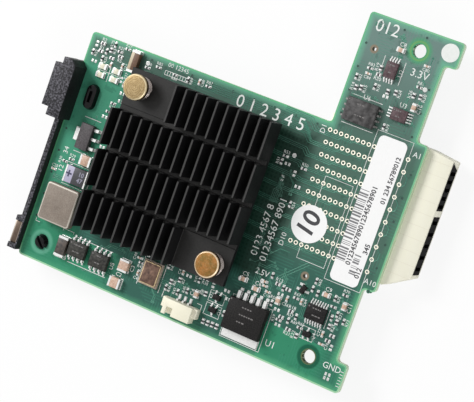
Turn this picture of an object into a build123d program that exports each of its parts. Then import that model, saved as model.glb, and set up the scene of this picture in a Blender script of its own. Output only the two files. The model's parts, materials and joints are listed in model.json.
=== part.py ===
from build123d import *
from math import cos, sin, tau
import os

# Mezzanine network card: a small add-in board for a blade server, with a finned heat sink,
# a plastic clip on its left edge and a right-angle connector under its right edge.
# The origin lies midway between the two screw holes, on the underside of the board.
# X runs along the board, Y up its arm and Z up from the component side. Sizes are in mm.

# Circuit board. Places are measured from its lower left corner, and insets from its right edge.
board_thickness = 1.6
board_length = 88.6
board_width = 57.2
arm_width = 23.5
arm_top = 84.0
tab_depth = 2.9
foot_tab_top = 6.9
bay_low = 24.6
bay_high = 59.8
top_tab_low = 77.8
outline_radius = 0.9

# Screw and tooling holes
screw_hole_radius = 1.6
screw_hole_inset = 9.55
screw_hole_low_y = 5.3
screw_hole_spacing = 73.8
tooling_hole_radius = 0.5
tooling_hole_insets = [(19.8, 76.1), (16.95, 22.15)]

# Network controller and its thermal pad
controller_x = 34.9
controller_y = 32.9
substrate_side = 27.0
substrate_thickness = 1.2
lid_side = 23.0
lid_thickness = 0.9
lid_rim = 1.6
lid_brim_thickness = 0.4
thermal_pad_side = 18.0
thermal_pad_thickness = 0.2

# Heat sink: a comb extrusion, cross-cut into rows and milled flat at two corners
sink_length = 40.0
sink_width = 40.0
sink_base = 1.4
fin_height = 4.8
fin_count = 15
fin_root = 0.9
fin_tip = 0.5
fin_rows = 4
cross_cut = 1.2
cross_cut_sink = 0.25
milled_fins = 5

# Spring-loaded push pins
pin_inset = 4.0
pin_head_radius = 3.15
pin_head_thickness = 1.3
pin_head_bevel = 0.3
pin_shank_radius = 1.3
pin_barb_radius = 1.75
pin_barb_length = 2.2
pin_tip_radius = 0.9
pin_slot = 0.5
pin_clearance = 0.2
spring_wire = 0.55
spring_wire_sides = 4
spring_radius = 2.55
spring_turns = 3
spring_steps_per_turn = 16
spring_length = 2.8

# Edge clip, measured outwards and inwards from the left edge of the board
clip_clearance = 0.1
clip_wall = 1.2
clip_below = 1.8
rail_low = 0.9
rail_height = 2.1
thumb_low = 34.9
thumb_high = 49.5
thumb_out = 1.9
thumb_in = 1.6
thumb_height = 6.2
thumb_corner = 1.4
lip_low = 36.9
lip_high = 47.7
lip_out = 3.8
lip_thickness = 2.4
lug_margin = 0.9
stake_x = 5.3
stake_y = 42.2
stake_length = 5.6
stake_width = 2.4
stake_barb = 0.4
stake_head = 1.3
stake_draft = 14.0
stake_slot = 0.8
stake_slot_length = 2.8
peg_x = 5.1
peg_y = 4.9
peg_radius = 1.55
peg_barb = 0.35
peg_head = 1.2
peg_slot = 0.6
snap_clearance = 0.1

# Latch spring in the lower end of the clip
latch_sheet = 0.3
latch_low = 2.2
latch_high = 7.8
latch_out = 2.5
latch_in = 0.6
latch_drop = 2.4
latch_seat_drop = 0.5
latch_clearance = 0.1
prong_width = 1.3

# Midplane connector under the right edge
connector_length = 30.9
connector_reach = 6.3
connector_low = 26.8
connector_high = 59.3
connector_depth = 5.6
connector_wall = 0.6
guide_length = 6.0
guide_rise = 3.8
top_end_fall = 0.7
window_low = 31.4
window_split = 46.1
window_web = 1.5
window_high = 58.2
window_slant = 1.5
window_depth = 13.0
face_thickness = 1.0
face_slot = 0.9
face_slot_margin = 0.5
wafers_per_window = 5
wafer_thickness = 1.5
wafer_length = 11.0

# Mezzanine plug on the underside
plug_x = 29.0
plug_y = 33.0
plug_length = 42.0
plug_wall = 0.9
plug_channel = 1.6
plug_tongue = 2.4
plug_floor = 1.2
plug_end_wall = 1.6
plug_tongue_recess = 0.6
plug_contact_pitch = 1.9
plug_contact_width = 0.8
plug_contact_thickness = 0.2
plug_contact_height = 3.2

# Power inductor
inductor_x = 7.4
inductor_y = 15.2
inductor_length = 9.0
inductor_width = 9.4
inductor_height = 2.8
inductor_corner = 0.8
inductor_end_sheet = 0.25
inductor_end_length = 2.2
inductor_end_width = 6.0

# Leaded packages share their lead sheet and stand-off
lead_sheet = 0.2
lead_foot = 0.55
chip_standoff = 0.1
mould_draft = 7.0

# Five-lead power regulator
power_x = 61.8
power_y = 7.7
power_length = 10.0
power_width = 7.8
power_height = 2.1
power_tab_length = 9.4
power_tab_reach = 1.9
power_tab_sheet = 0.5
power_lead_count = 5
power_lead_pitch = 1.7
power_lead_width = 0.8
power_lead_reach = 2.1

# Three-lead regulator with a tab
small_x = 7.5
small_y = 32.75
small_length = 6.5
small_width = 3.5
small_height = 1.7
small_tab_length = 3.0
small_lead_count = 3
small_lead_pitch = 2.3
small_lead_width = 0.7
small_lead_reach = 1.6

# Two eight-lead driver chips
driver_places = [(15.4, 6.7), (21.7, 6.3)]
driver_length = 4.9
driver_width = 3.8
driver_height = 1.5
driver_leads_per_side = 4
driver_lead_pitch = 1.27
driver_lead_width = 0.42
driver_lead_reach = 1.0

# Fourteen-lead sequencer chip
sequencer_inset = 11.2
sequencer_y = 15.2
sequencer_length = 5.0
sequencer_width = 3.6
sequencer_height = 1.1
sequencer_leads_per_side = 7
sequencer_lead_pitch = 0.65
sequencer_lead_width = 0.26
sequencer_lead_reach = 1.0

# Two monitor chips on the arm: inset, place and turn of the lead rows
monitor_insets = [(14.1, 72.9, 0), (8.7, 64.1, 90)]
monitor_length = 2.9
monitor_width = 3.8
monitor_height = 1.1
monitor_leads_per_side = 4
monitor_lead_pitch = 0.65
monitor_lead_width = 0.28
monitor_lead_reach = 0.9

# Memory chip on the arm
memory_inset = 17.4
memory_y = 61.6
memory_length = 5.5
memory_width = 7.8
memory_height = 1.6
memory_leads_per_side = 4
memory_lead_pitch = 1.27
memory_lead_width = 0.42
memory_lead_reach = 0.8

# Small transistors, with the turn of the side that has two leads
transistor_places = [(53.2, 9.5, 0), (53.2, 6.4, 0)]
transistor_insets = [(16.1, 19.2, 70), (11.7, 10.0, 180)]
transistor_length = 2.0
transistor_width = 1.3
transistor_height = 0.95
transistor_lead_pitch = 1.3
transistor_lead_width = 0.4
transistor_lead_reach = 0.6

# Crystal oscillator
oscillator_x = 35.5
oscillator_y = 8.5
oscillator_length = 5.0
oscillator_width = 6.0
oscillator_base_height = 0.8
oscillator_lid_height = 0.5
oscillator_lid_inset = 0.3
oscillator_corner = 0.4

# Service header, opening towards the lower edge
header_x = 45.7
header_y = 3.3
header_length = 7.4
header_width = 3.8
header_height = 3.0
header_wall = 0.6
header_ear_length = 1.0
header_ear_height = 2.0
header_ear_width = 2.4
header_key_x = 1.9
header_key_width = 1.6
header_key_depth = 1.9
header_contact_count = 3
header_contact_pitch = 1.5
header_contact_size = 0.5
header_tail_reach = 1.4
header_pin_length = 2.2
header_pin_level = 1.1

# Two-ended parts: place, length along X, width along Y, height and end length
rectifier_x = 11.2
rectifier_y = 6.0
rectifier_length = 2.6
rectifier_width = 5.0
rectifier_height = 1.6
rectifier_end = 0.6
polymer_x = 8.9
polymer_y = 23.1
polymer_length = 6.2
polymer_width = 4.2
polymer_height = 1.9
polymer_end = 0.4
tantalum_x = 13.4
tantalum_y = 53.9
tantalum_length = 2.2
tantalum_width = 5.4
tantalum_height = 1.6
tantalum_end = 0.6

# Status lights, two by two
led_x = 7.55
led_y = 49.05
led_pitch_x = 3.9
led_pitch_y = 2.1
led_length = 2.2
led_width = 1.3
led_height = 0.7
led_end = 0.5

# Ceramic capacitors: the large ones, then the small ones, with their turn
large_ceramic_places = [(9.7, 27.4, 0), (28.3, 7.7, 90), (27.4, 3.1, 0)]
large_ceramic_length = 3.0
large_ceramic_width = 2.5
large_ceramic_height = 1.4
large_ceramic_end = 0.5
ceramic_places = [(57.9, 16.0, 0), (61.6, 15.0, 0), (48.1, 8.3, 90)]
ceramic_insets = [(20.9, 14.5, 90), (10.4, 20.1, 0), (5.4, 19.2, 90), (13.6, 77.9, 0), (6.1, 66.8, 90)]
ceramic_length = 1.8
ceramic_width = 1.0
ceramic_height = 0.9
ceramic_end = 0.4

# Chip resistors with their turn
resistor_places = [
    (51.8, 3.0, 90), (53.0, 3.0, 90), (54.2, 3.1, 90), (55.4, 3.1, 90), (50.1, 9.2, 90), (3.6, 53.3, 0),
    (6.2, 54.4, 90), (7.0, 52.6, 0), (9.1, 53.7, 0), (3.6, 55.2, 0), (40.8, 8.6, 90), (42.8, 9.8, 90),
]
resistor_insets = [
    (22.4, 18.0, 0), (19.6, 17.7, 0), (17.2, 13.3, 0), (19.0, 11.2, 0), (16.4, 9.2, 0), (14.0, 8.6, 90),
    (6.0, 15.2, 90), (7.3, 13.6, 90), (5.9, 11.8, 0), (6.5, 10.4, 0), (16.7, 72.6, 90), (16.7, 71.0, 0),
    (20.8, 66.6, 90), (19.6, 66.9, 90), (13.3, 68.1, 90), (11.4, 68.5, 90), (7.2, 69.3, 90), (5.6, 69.5, 90),
]
resistor_length = 1.1
resistor_width = 0.6
resistor_height = 0.4
resistor_end = 0.3

# Blank labels
rating_label_inset = 7.9
rating_label_y = 41.3
rating_label_length = 7.1
rating_label_width = 34.8
rating_label_corner = 1.3
round_label_inset = 20.25
round_label_y = 33.6
round_label_radius = 4.4
label_thickness = 0.12

# Levels and places that follow from the sizes above
board_top = board_thickness
waist = board_length - tab_depth
arm_left = board_length - arm_width
screw_hole_x = board_length - screw_hole_inset
origin_y = screw_hole_low_y + screw_hole_spacing / 2
sink_bottom = board_top + substrate_thickness + lid_thickness + thermal_pad_thickness
sink_floor = sink_bottom + sink_base
row_pitch = (sink_width + cross_cut) / fin_rows
fin_pitch = (sink_length - fin_root) / (fin_count - 1)
pin_offset_x = sink_length / 2 - pin_inset
pin_offset_y = sink_width / 2 - pin_inset
pin_places = [
    (controller_x - pin_offset_x, controller_y + pin_offset_y),
    (controller_x + pin_offset_x, controller_y - pin_offset_y),
]
connector_right = board_length + connector_reach
connector_left = connector_right - connector_length
guide_start = connector_right - guide_length
plug_width = 2 * plug_wall + 2 * plug_channel + plug_tongue
plug_inside = plug_length - 2 * plug_end_wall
plug_contacts_per_row = int(plug_inside / plug_contact_pitch)
MIDDLE_UP = (Align.CENTER, Align.CENTER, Align.MIN)
MIDDLE_DOWN = (Align.CENTER, Align.CENTER, Align.MAX)


def at(x, y, z=0.0, turn=0.0):
    """Place on the card, measured from the board's lower left corner."""
    return Pos(x - screw_hole_x, y - origin_y, z) * Rot(0, 0, turn)


def from_right(insets):
    """Places given by their inset from the board's right edge, measured from its lower left corner."""
    return [(board_length - inset, y, turn) for inset, y, turn in insets]


def span(x0, x1, y0, y1, z0, z1):
    """Block between two corners, measured from the board's lower left corner."""
    block = Box(x1 - x0, y1 - y0, z1 - z0, align=MIDDLE_UP)
    return at((x0 + x1) / 2, (y0 + y1) / 2, z0) * block


def prism(points, z0, height):
    """Upright prism on an outline, measured from the board's lower left corner."""
    outline = make_face(Polyline(*points, close=True))
    return at(0, 0, z0) * extrude(outline, height)


def save(node, *shapes):
    """Write the solids of one sub-part to its own file."""
    solids = []
    for shape in shapes:
        solids += shape.solids()
    export_step(Compound(solids), os.path.join("parts", node + ".step"))


def lead(reach, level, width):
    """One bent lead from the package side out to its foot on the board, along +Y."""
    knee = reach - lead_foot
    outline = Polyline(
        (0, level),
        (knee + lead_sheet, level),
        (knee + lead_sheet, lead_sheet),
        (reach, lead_sheet),
        (reach, 0),
        (knee, 0),
        (knee, level - lead_sheet),
        (0, level - lead_sheet),
        close=True,
    )
    return extrude(Plane.YZ * make_face(outline), width / 2, both=True)


def lead_row(count, pitch, side, reach, level, width):
    """A row of leads along X whose roots lie at Y = side."""
    row = []
    for index in range(count):
        x = (index - (count - 1) / 2) * pitch
        row.append(Pos(x, side, 0) * lead(reach, level, width))
    return row


def moulded_body(length, width, height, level):
    """Moulded package, drafted both ways from the parting line where its leads come out."""
    upper = extrude(Rectangle(length, width), height - level, taper=mould_draft)
    lower = extrude(Rectangle(length, width), -(level - chip_standoff), taper=mould_draft)
    return Pos(0, 0, level) * (upper + lower)


def two_row_chip(length, width, height, count, pitch, reach, lead_width):
    """Package with a lead row on each long side: its body and its leads, standing on Z = 0."""
    level = height / 2 + lead_sheet / 2
    body = moulded_body(length, width, height, height / 2)
    side = lead_row(count, pitch, width / 2, reach, level, lead_width)
    leads = side + [Rot(0, 0, 180) * one for one in side]
    return body, leads


def two_ended(length, width, height, end):
    """Chip part lying along X: its middle and its two metal ends."""
    middle = Box(length - 2 * end, width, height, align=MIDDLE_UP)
    offset = (length - end) / 2
    ends = []
    for x in (-offset, offset):
        ends.append(Pos(x, 0, 0) * Box(end, width, height, align=MIDDLE_UP))
    return middle, ends


def circuit_board():
    """Routed board with its arm, edge tabs and drilled holes."""
    outline = make_face(Polyline(
        (0, 0),
        (board_length, 0),
        (board_length, foot_tab_top),
        (waist, foot_tab_top),
        (waist, bay_low),
        (board_length, bay_low),
        (board_length, bay_high),
        (waist, bay_high),
        (waist, top_tab_low),
        (board_length, top_tab_low),
        (board_length, arm_top),
        (arm_left, arm_top),
        (arm_left, board_width),
        (0, board_width),
        close=True,
    ))
    outline = fillet(outline.vertices(), outline_radius)
    board = at(0, 0) * extrude(outline, board_thickness)
    drill = Cylinder(screw_hole_radius, board_thickness, align=MIDDLE_UP)
    for y in (screw_hole_low_y, screw_hole_low_y + screw_hole_spacing):
        board -= at(screw_hole_x, y) * drill
    for inset, y in tooling_hole_insets:
        board -= at(board_length - inset, y) * Cylinder(tooling_hole_radius, board_thickness, align=MIDDLE_UP)
    for x, y in pin_places:
        board -= at(x, y) * Cylinder(pin_shank_radius + pin_clearance, board_thickness, align=MIDDLE_UP)
    board -= at(peg_x, peg_y) * Cylinder(peg_radius + snap_clearance, board_thickness, align=MIDDLE_UP)
    slot = SlotOverall(stake_length + 2 * snap_clearance, stake_width + 2 * snap_clearance)
    board -= at(stake_x, stake_y, 0, 90) * extrude(slot, board_thickness)
    return board


def heat_sink():
    """Comb extrusion along Y, sawn across between the rows and milled at two corners."""
    comb = Rectangle(sink_length, sink_base, align=(Align.CENTER, Align.MIN))
    fin = make_face(Polyline(
        (-fin_root / 2, sink_base),
        (fin_root / 2, sink_base),
        (fin_tip / 2, sink_base + fin_height),
        (-fin_tip / 2, sink_base + fin_height),
        close=True,
    ))
    for index in range(fin_count):
        x = (index - (fin_count - 1) / 2) * fin_pitch
        comb += Pos(x, 0) * fin
    sink = extrude(Plane.XZ * comb, sink_width / 2, both=True)
    for index in range(1, fin_rows):
        y = -sink_width / 2 + index * row_pitch - cross_cut / 2
        saw = Box(sink_length, cross_cut, fin_height + cross_cut_sink, align=MIDDLE_UP)
        sink -= Pos(0, y, sink_base - cross_cut_sink) * saw
    pad_length = (milled_fins - 0.5) * fin_pitch + fin_root / 2
    pad_width = row_pitch - cross_cut
    mill = Box(pad_length, pad_width, fin_height, align=MIDDLE_UP)
    pad_x = (sink_length - pad_length) / 2
    pad_y = (sink_width - pad_width) / 2
    bore = Cylinder(pin_shank_radius + pin_clearance, sink_base, align=MIDDLE_UP)
    for side in (1, -1):
        sink -= Pos(-side * pad_x, side * pad_y, sink_base) * mill
        sink -= Pos(-side * pin_offset_x, side * pin_offset_y, 0) * bore
    return at(controller_x, controller_y, sink_bottom) * sink


def controller_lid():
    """Stamped lid: a raised top inside a thin brim glued to the substrate."""
    brim = Box(lid_side, lid_side, lid_brim_thickness, align=MIDDLE_UP)
    crown_side = lid_side - 2 * lid_rim
    crown = Box(crown_side, crown_side, lid_thickness, align=MIDDLE_UP)
    return at(controller_x, controller_y, board_top + substrate_thickness) * (brim + crown)


def push_pin():
    """Turned pin with a flat head, and a split barb that snaps under the board."""
    head_bottom = sink_floor + spring_length
    head_top = head_bottom + pin_head_thickness
    profile = make_face(Polyline(
        (0, head_top),
        (pin_head_radius - pin_head_bevel, head_top),
        (pin_head_radius, head_top - pin_head_bevel),
        (pin_head_radius, head_bottom),
        (pin_shank_radius, head_bottom),
        (pin_shank_radius, -pin_clearance),
        (pin_barb_radius, -pin_clearance),
        (pin_tip_radius, -pin_barb_length),
        (0, -pin_barb_length),
        close=True,
    ))
    pin = revolve(Plane.XZ * profile, Axis.Z)
    split = Box(pin_slot, 2 * pin_barb_radius, pin_barb_length, align=MIDDLE_DOWN)
    return pin - split


def pin_spring():
    """Coil spring between the milled corner of the sink and the head of the pin."""
    rise = spring_length - spring_wire
    steps = spring_turns * spring_steps_per_turn
    points = []
    for step in range(steps + 1):
        angle = tau * step / spring_steps_per_turn
        points.append((spring_radius * cos(angle), spring_radius * sin(angle), rise * step / steps))
    path = Polyline(*points)
    section = RegularPolygon(spring_wire / 2, spring_wire_sides)
    wire = Plane(path @ 0, z_dir=path % 0) * section
    coil = sweep(wire, path=path, transition=Transition.RIGHT)
    return Pos(0, 0, sink_floor + spring_wire / 2) * coil


def edge_clip():
    """One moulding: a rail outside the edge, a thumb block over it, and two snaps from below."""
    wall_in = -clip_clearance
    wall_out = wall_in - clip_wall
    rail_top = board_top + rail_height
    thumb_top = board_top + thumb_height
    clip = span(wall_out, wall_in, rail_low, thumb_high, -clip_below, rail_top)
    thumb = prism([
        (-thumb_out, thumb_low),
        (thumb_in, thumb_low),
        (thumb_in, thumb_high - thumb_corner),
        (thumb_in - thumb_corner, thumb_high),
        (-thumb_out, thumb_high),
    ], board_top, thumb_height)
    lip = span(-lip_out, -thumb_out, lip_low, lip_high, thumb_top - lip_thickness, thumb_top)
    clip += thumb + lip
    prong_bottom = rail_top - latch_drop
    for low in (latch_low - prong_width, latch_high):
        clip += span(-latch_out, wall_out, low, low + prong_width, prong_bottom, rail_top)
    seat = rail_top - latch_seat_drop
    latch_in_edge = -latch_in + latch_clearance
    clip -= span(wall_out, latch_in_edge, latch_low, latch_high, seat - latch_sheet, rail_top)
    for x, y, reach in ((stake_x, stake_y, stake_length / 2), (peg_x, peg_y, peg_radius)):
        lug_right = x + peg_radius + lug_margin
        lug_half = reach + lug_margin
        clip += span(wall_out, lug_right, y - lug_half, y + lug_half, -clip_below, 0)
    stake = extrude(SlotOverall(stake_length, stake_width), board_top)
    barb = SlotOverall(stake_length + 2 * stake_barb, stake_width + 2 * stake_barb)
    stake += Pos(0, 0, board_top) * extrude(barb, stake_head, taper=stake_draft)
    stake -= Pos(0, 0, board_top) * Box(stake_slot_length, stake_slot, stake_head, align=MIDDLE_UP)
    clip += at(stake_x, stake_y, 0, 90) * stake
    peg = Cylinder(peg_radius, board_top, align=MIDDLE_UP)
    cap = Cone(peg_radius + peg_barb, peg_radius - peg_barb, peg_head, align=MIDDLE_UP)
    peg += Pos(0, 0, board_top) * cap
    peg -= Pos(0, 0, board_top) * Box(peg_slot, 2 * peg_radius + 2 * peg_barb, peg_head, align=MIDDLE_UP)
    clip += at(peg_x, peg_y, 0, 45) * peg
    return clip


def clip_latch():
    """Bent sheet spring: it lies in the seat on the rail and hangs down outside it."""
    low = latch_low + latch_clearance
    high = latch_high - latch_clearance
    top = board_top + rail_height - latch_seat_drop
    flat = span(-latch_out, -latch_in, low, high, top - latch_sheet, top)
    skirt = span(-latch_out, -latch_out + latch_sheet, low, high, top - latch_drop, top)
    return flat + skirt


def window(y0, y1, depth, slant):
    """Opening in the connector front, seen from +X, with a slanted upper end."""
    outline = make_face(Polyline(
        (y0, -connector_wall),
        (y1, -connector_wall),
        (y1 - slant, connector_wall - connector_depth),
        (y0, connector_wall - connector_depth),
        close=True,
    ))
    block = extrude(Plane.YZ * outline, -depth)
    return at(connector_right, 0) * block


def window_spans():
    """Lower and upper window of the connector front: start, end and slant of the end."""
    half = window_web / 2
    lower = (window_low, window_split - half, 0.0)
    upper = (window_split + half, window_high, window_slant)
    return lower, upper


def midplane_housing():
    """Right-angle connector body with a guiding taper at one end and two windows in front."""
    body = prism([
        (connector_left, connector_low),
        (guide_start, connector_low),
        (connector_right, connector_low + guide_rise),
        (connector_right, connector_high - top_end_fall),
        (guide_start, connector_high),
        (connector_left, connector_high),
    ], -connector_depth, connector_depth)
    for y0, y1, slant in window_spans():
        body -= window(y0, y1, window_depth, slant)
    return body


def slot_places(y0, y1):
    """Middle of each wafer in a window."""
    pitch = (y1 - y0) / wafers_per_window
    return [y0 + (index + 0.5) * pitch for index in range(wafers_per_window)]


def mating_face(y0, y1, slant):
    """Black face set in one window, with a slot in front of each wafer."""
    face = window(y0, y1, face_thickness, slant)
    slot_top = -connector_wall - face_slot_margin
    slot_bottom = connector_wall + face_slot_margin - connector_depth
    for y in slot_places(y0, y1 - slant):
        half = face_slot / 2
        x0 = connector_right - face_thickness
        face -= span(x0, connector_right, y - half, y + half, slot_bottom, slot_top)
    return face


def contact_wafers():
    """Wafers that carry the contacts, standing in the windows behind the faces."""
    x1 = connector_right - face_thickness
    wafers = []
    for y0, y1, slant in window_spans():
        for y in slot_places(y0, y1 - slant):
            half = wafer_thickness / 2
            low = connector_wall - connector_depth
            wafers.append(span(x1 - wafer_length, x1, y - half, y + half, low, -connector_wall))
    return wafers


def mezzanine_plug():
    """Shrouded plug under the board: a wall round a tongue, open downwards."""
    depth = connector_depth
    shroud = Box(plug_width, plug_length, depth, align=MIDDLE_DOWN)
    hollow = Box(plug_tongue + 2 * plug_channel, plug_inside, depth - plug_floor, align=MIDDLE_DOWN)
    tongue_depth = depth - plug_floor - plug_tongue_recess
    tongue = Box(plug_tongue, plug_inside, tongue_depth, align=MIDDLE_DOWN)
    housing = shroud - Pos(0, 0, -plug_floor) * hollow + Pos(0, 0, -plug_floor) * tongue
    blade = Box(plug_contact_thickness, plug_contact_width, plug_contact_height, align=MIDDLE_DOWN)
    contacts = []
    for side in (-1, 1):
        x = side * (plug_tongue + plug_contact_thickness) / 2
        for index in range(plug_contacts_per_row):
            y = (index - (plug_contacts_per_row - 1) / 2) * plug_contact_pitch
            contacts.append(at(plug_x, plug_y) * Pos(x, y, -plug_floor) * blade)
    return at(plug_x, plug_y) * housing, contacts


def power_inductor():
    """Shielded inductor: a rounded core on two flat end terminals."""
    core = extrude(
        RectangleRounded(inductor_length, inductor_width, inductor_corner),
        inductor_height - inductor_end_sheet,
    )
    ends = []
    for side in (-1, 1):
        x = side * (inductor_length - inductor_end_length) / 2
        sheet = Box(inductor_end_length, inductor_end_width, inductor_end_sheet, align=MIDDLE_UP)
        ends.append(at(inductor_x, inductor_y, board_top) * Pos(x, 0, 0) * sheet)
    return at(inductor_x, inductor_y, board_top + inductor_end_sheet) * core, ends


def power_regulator():
    """Power package lying on its metal tab, with five leads on the far side."""
    level = power_height / 2 + lead_sheet / 2
    body = moulded_body(power_length, power_width, power_height, power_height / 2)
    tab = Box(power_tab_length, power_width / 2 + power_tab_reach, power_tab_sheet, align=MIDDLE_UP)
    tab = Pos(0, -(power_width / 2 + power_tab_reach) / 2, 0) * tab
    leads = lead_row(power_lead_count, power_lead_pitch, power_width / 2, power_lead_reach, level,
                     power_lead_width)
    place = at(power_x, power_y, board_top)
    return place * (body - tab), place * tab, [place * one for one in leads]


def small_regulator():
    """Three-lead package turned so that its leads face the heat sink, its tab the clip."""
    level = small_height / 2 + lead_sheet / 2
    body = moulded_body(small_length, small_width, small_height, small_height / 2)
    leads = lead_row(small_lead_count, small_lead_pitch, small_width / 2, small_lead_reach, level,
                     small_lead_width)
    tab = Rot(0, 0, 180) * Pos(0, small_width / 2, 0) * lead(small_lead_reach, level, small_tab_length)
    place = at(small_x, small_y, board_top, -90)
    return place * body, place * tab, [place * one for one in leads]


def transistor(x, y, turn):
    """Small package with two leads on one side and one on the other."""
    level = transistor_height / 2 + lead_sheet / 2
    body = moulded_body(transistor_length, transistor_width, transistor_height, transistor_height / 2)
    side = transistor_width / 2
    pair = lead_row(2, transistor_lead_pitch, side, transistor_lead_reach, level, transistor_lead_width)
    single = lead_row(1, transistor_lead_pitch, side, transistor_lead_reach, level, transistor_lead_width)
    place = at(x, y, board_top, turn)
    leads = [place * one for one in pair] + [place * Rot(0, 0, 180) * single[0]]
    return place * body, leads


def oscillator():
    """Crystal oscillator: ceramic base with a seam-welded metal lid."""
    base = Box(oscillator_length, oscillator_width, oscillator_base_height, align=MIDDLE_UP)
    lid = extrude(
        RectangleRounded(
            oscillator_length - 2 * oscillator_lid_inset,
            oscillator_width - 2 * oscillator_lid_inset,
            oscillator_corner,
        ),
        oscillator_lid_height,
    )
    place = at(oscillator_x, oscillator_y, board_top)
    return place * base, place * Pos(0, 0, oscillator_base_height) * lid


def service_header():
    """Side-entry header: a socket open towards the board edge, two ears and its contacts."""
    shell = Box(header_length, header_width, header_height, align=MIDDLE_UP)
    mouth = Box(
        header_length - 2 * header_wall,
        header_width - header_wall,
        header_height - 2 * header_wall,
        align=MIDDLE_UP,
    )
    shell -= Pos(0, -header_wall / 2, header_wall) * mouth
    key = Box(header_key_width, header_key_depth, header_wall, align=MIDDLE_UP)
    key_y = (header_key_depth - header_width) / 2
    shell -= Pos(-header_key_x, key_y, header_height - header_wall) * key
    ear_x = (header_length + header_ear_length) / 2
    ear_y = (header_width - header_ear_width) / 2
    for side in (-1, 1):
        ear = Box(header_ear_length, header_ear_width, header_ear_height, align=MIDDLE_UP)
        shell += Pos(side * ear_x, ear_y, 0) * ear
    back = header_width / 2
    size = header_contact_size
    outline = make_face(Polyline(
        (back - header_wall - header_pin_length, header_pin_level),
        (back + size, header_pin_level),
        (back + size, size / 2),
        (back + header_tail_reach, size / 2),
        (back + header_tail_reach, 0),
        (back, 0),
        (back, header_pin_level - size),
        (back - header_wall - header_pin_length, header_pin_level - size),
        close=True,
    ))
    contact = extrude(Plane.YZ * outline, size / 2, both=True)
    contacts = []
    for index in range(header_contact_count):
        x = (index - (header_contact_count - 1) / 2) * header_contact_pitch
        contacts.append(Pos(x, 0, 0) * contact)
    for contact_solid in contacts:
        shell -= contact_solid
    place = at(header_x, header_y, board_top)
    return place * shell, [place * one for one in contacts]


os.makedirs("parts", exist_ok=True)

# Board, controller and heat sink
save("circuit_board", circuit_board())
substrate = Box(substrate_side, substrate_side, substrate_thickness, align=MIDDLE_UP)
save("controller_substrate", at(controller_x, controller_y, board_top) * substrate)
save("controller_lid", controller_lid())
pad = Box(thermal_pad_side, thermal_pad_side, thermal_pad_thickness, align=MIDDLE_UP)
save("thermal_pad", at(controller_x, controller_y, sink_bottom - thermal_pad_thickness) * pad)
save("heat_sink", heat_sink())
save("push_pins", *[at(x, y) * push_pin() for x, y in pin_places])
save("pin_springs", *[at(x, y) * pin_spring() for x, y in pin_places])

# Edge clip
save("edge_clip", edge_clip())
save("clip_latch", clip_latch())

# Connectors
lower_window, upper_window = window_spans()
save("midplane_housing", midplane_housing())
save("mating_face_lower", mating_face(*lower_window))
save("mating_face_upper", mating_face(*upper_window))
save("contact_wafers", *contact_wafers())
plug_housing, plug_contacts = mezzanine_plug()
save("mezzanine_plug_housing", plug_housing)
save("mezzanine_plug_contacts", *plug_contacts)
header_housing, header_contacts = service_header()
save("service_header_housing", header_housing)
save("service_header_contacts", *header_contacts)

# Power parts
inductor_core, inductor_ends = power_inductor()
save("power_inductor_core", inductor_core)
save("power_inductor_ends", *inductor_ends)
power_body, power_tab, power_leads = power_regulator()
save("power_regulator_body", power_body)
save("power_regulator_tab", power_tab)
save("power_regulator_leads", *power_leads)
small_body, small_tab, small_leads = small_regulator()
save("small_regulator_body", small_body)
save("small_regulator_tab", small_tab)
save("small_regulator_leads", *small_leads)
oscillator_base, oscillator_lid = oscillator()
save("oscillator_base", oscillator_base)
save("oscillator_lid", oscillator_lid)

# Chips with two rows of leads, each with its places on the card
chips = [
    ("driver_chip", [(x, y, 0) for x, y in driver_places], "bodies", two_row_chip(
        driver_length, driver_width, driver_height, driver_leads_per_side,
        driver_lead_pitch, driver_lead_reach, driver_lead_width)),
    ("sequencer_chip", from_right([(sequencer_inset, sequencer_y, 0)]), "body", two_row_chip(
        sequencer_length, sequencer_width, sequencer_height, sequencer_leads_per_side,
        sequencer_lead_pitch, sequencer_lead_reach, sequencer_lead_width)),
    ("monitor_chip", from_right(monitor_insets), "bodies", two_row_chip(
        monitor_length, monitor_width, monitor_height, monitor_leads_per_side,
        monitor_lead_pitch, monitor_lead_reach, monitor_lead_width)),
    ("memory_chip", from_right([(memory_inset, memory_y, 90)]), "body", two_row_chip(
        memory_length, memory_width, memory_height, memory_leads_per_side,
        memory_lead_pitch, memory_lead_reach, memory_lead_width)),
]
for name, places, ending, (body, leads) in chips:
    spots = [at(x, y, board_top, turn) for x, y, turn in places]
    save(name + "_" + ending, *[spot * body for spot in spots])
    save(name + "_leads", *[spot * one for spot in spots for one in leads])
packages = [transistor(*place) for place in transistor_places + from_right(transistor_insets)]
save("transistor_bodies", *[body for body, leads in packages])
save("transistor_leads", *[one for body, leads in packages for one in leads])

# Two-ended parts, each with its places on the card
led_places = []
for column in (-0.5, 0.5):
    for row in (-0.5, 0.5):
        led_places.append((led_x + column * led_pitch_x, led_y + row * led_pitch_y, 0))
large_ceramic = two_ended(
    large_ceramic_length, large_ceramic_width, large_ceramic_height, large_ceramic_end)
ceramic = two_ended(ceramic_length, ceramic_width, ceramic_height, ceramic_end)
chip_parts = [
    ("rectifier", "body", [(rectifier_x, rectifier_y, 90)], two_ended(
        rectifier_width, rectifier_length, rectifier_height, rectifier_end)),
    ("polymer_capacitor", "body", [(polymer_x, polymer_y, 0)], two_ended(
        polymer_length, polymer_width, polymer_height, polymer_end)),
    ("tantalum_capacitor", "body", [(tantalum_x, tantalum_y, 90)], two_ended(
        tantalum_width, tantalum_length, tantalum_height, tantalum_end)),
    ("status_led", "bodies", led_places, two_ended(led_length, led_width, led_height, led_end)),
    ("chip_resistor", "bodies", resistor_places + from_right(resistor_insets), two_ended(
        resistor_length, resistor_width, resistor_height, resistor_end)),
]
for name, ending, places, (middle, ends) in chip_parts:
    spots = [at(x, y, board_top, turn) for x, y, turn in places]
    save(name + "_" + ending, *[spot * middle for spot in spots])
    save(name + "_ends", *[spot * end for spot in spots for end in ends])
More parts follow.
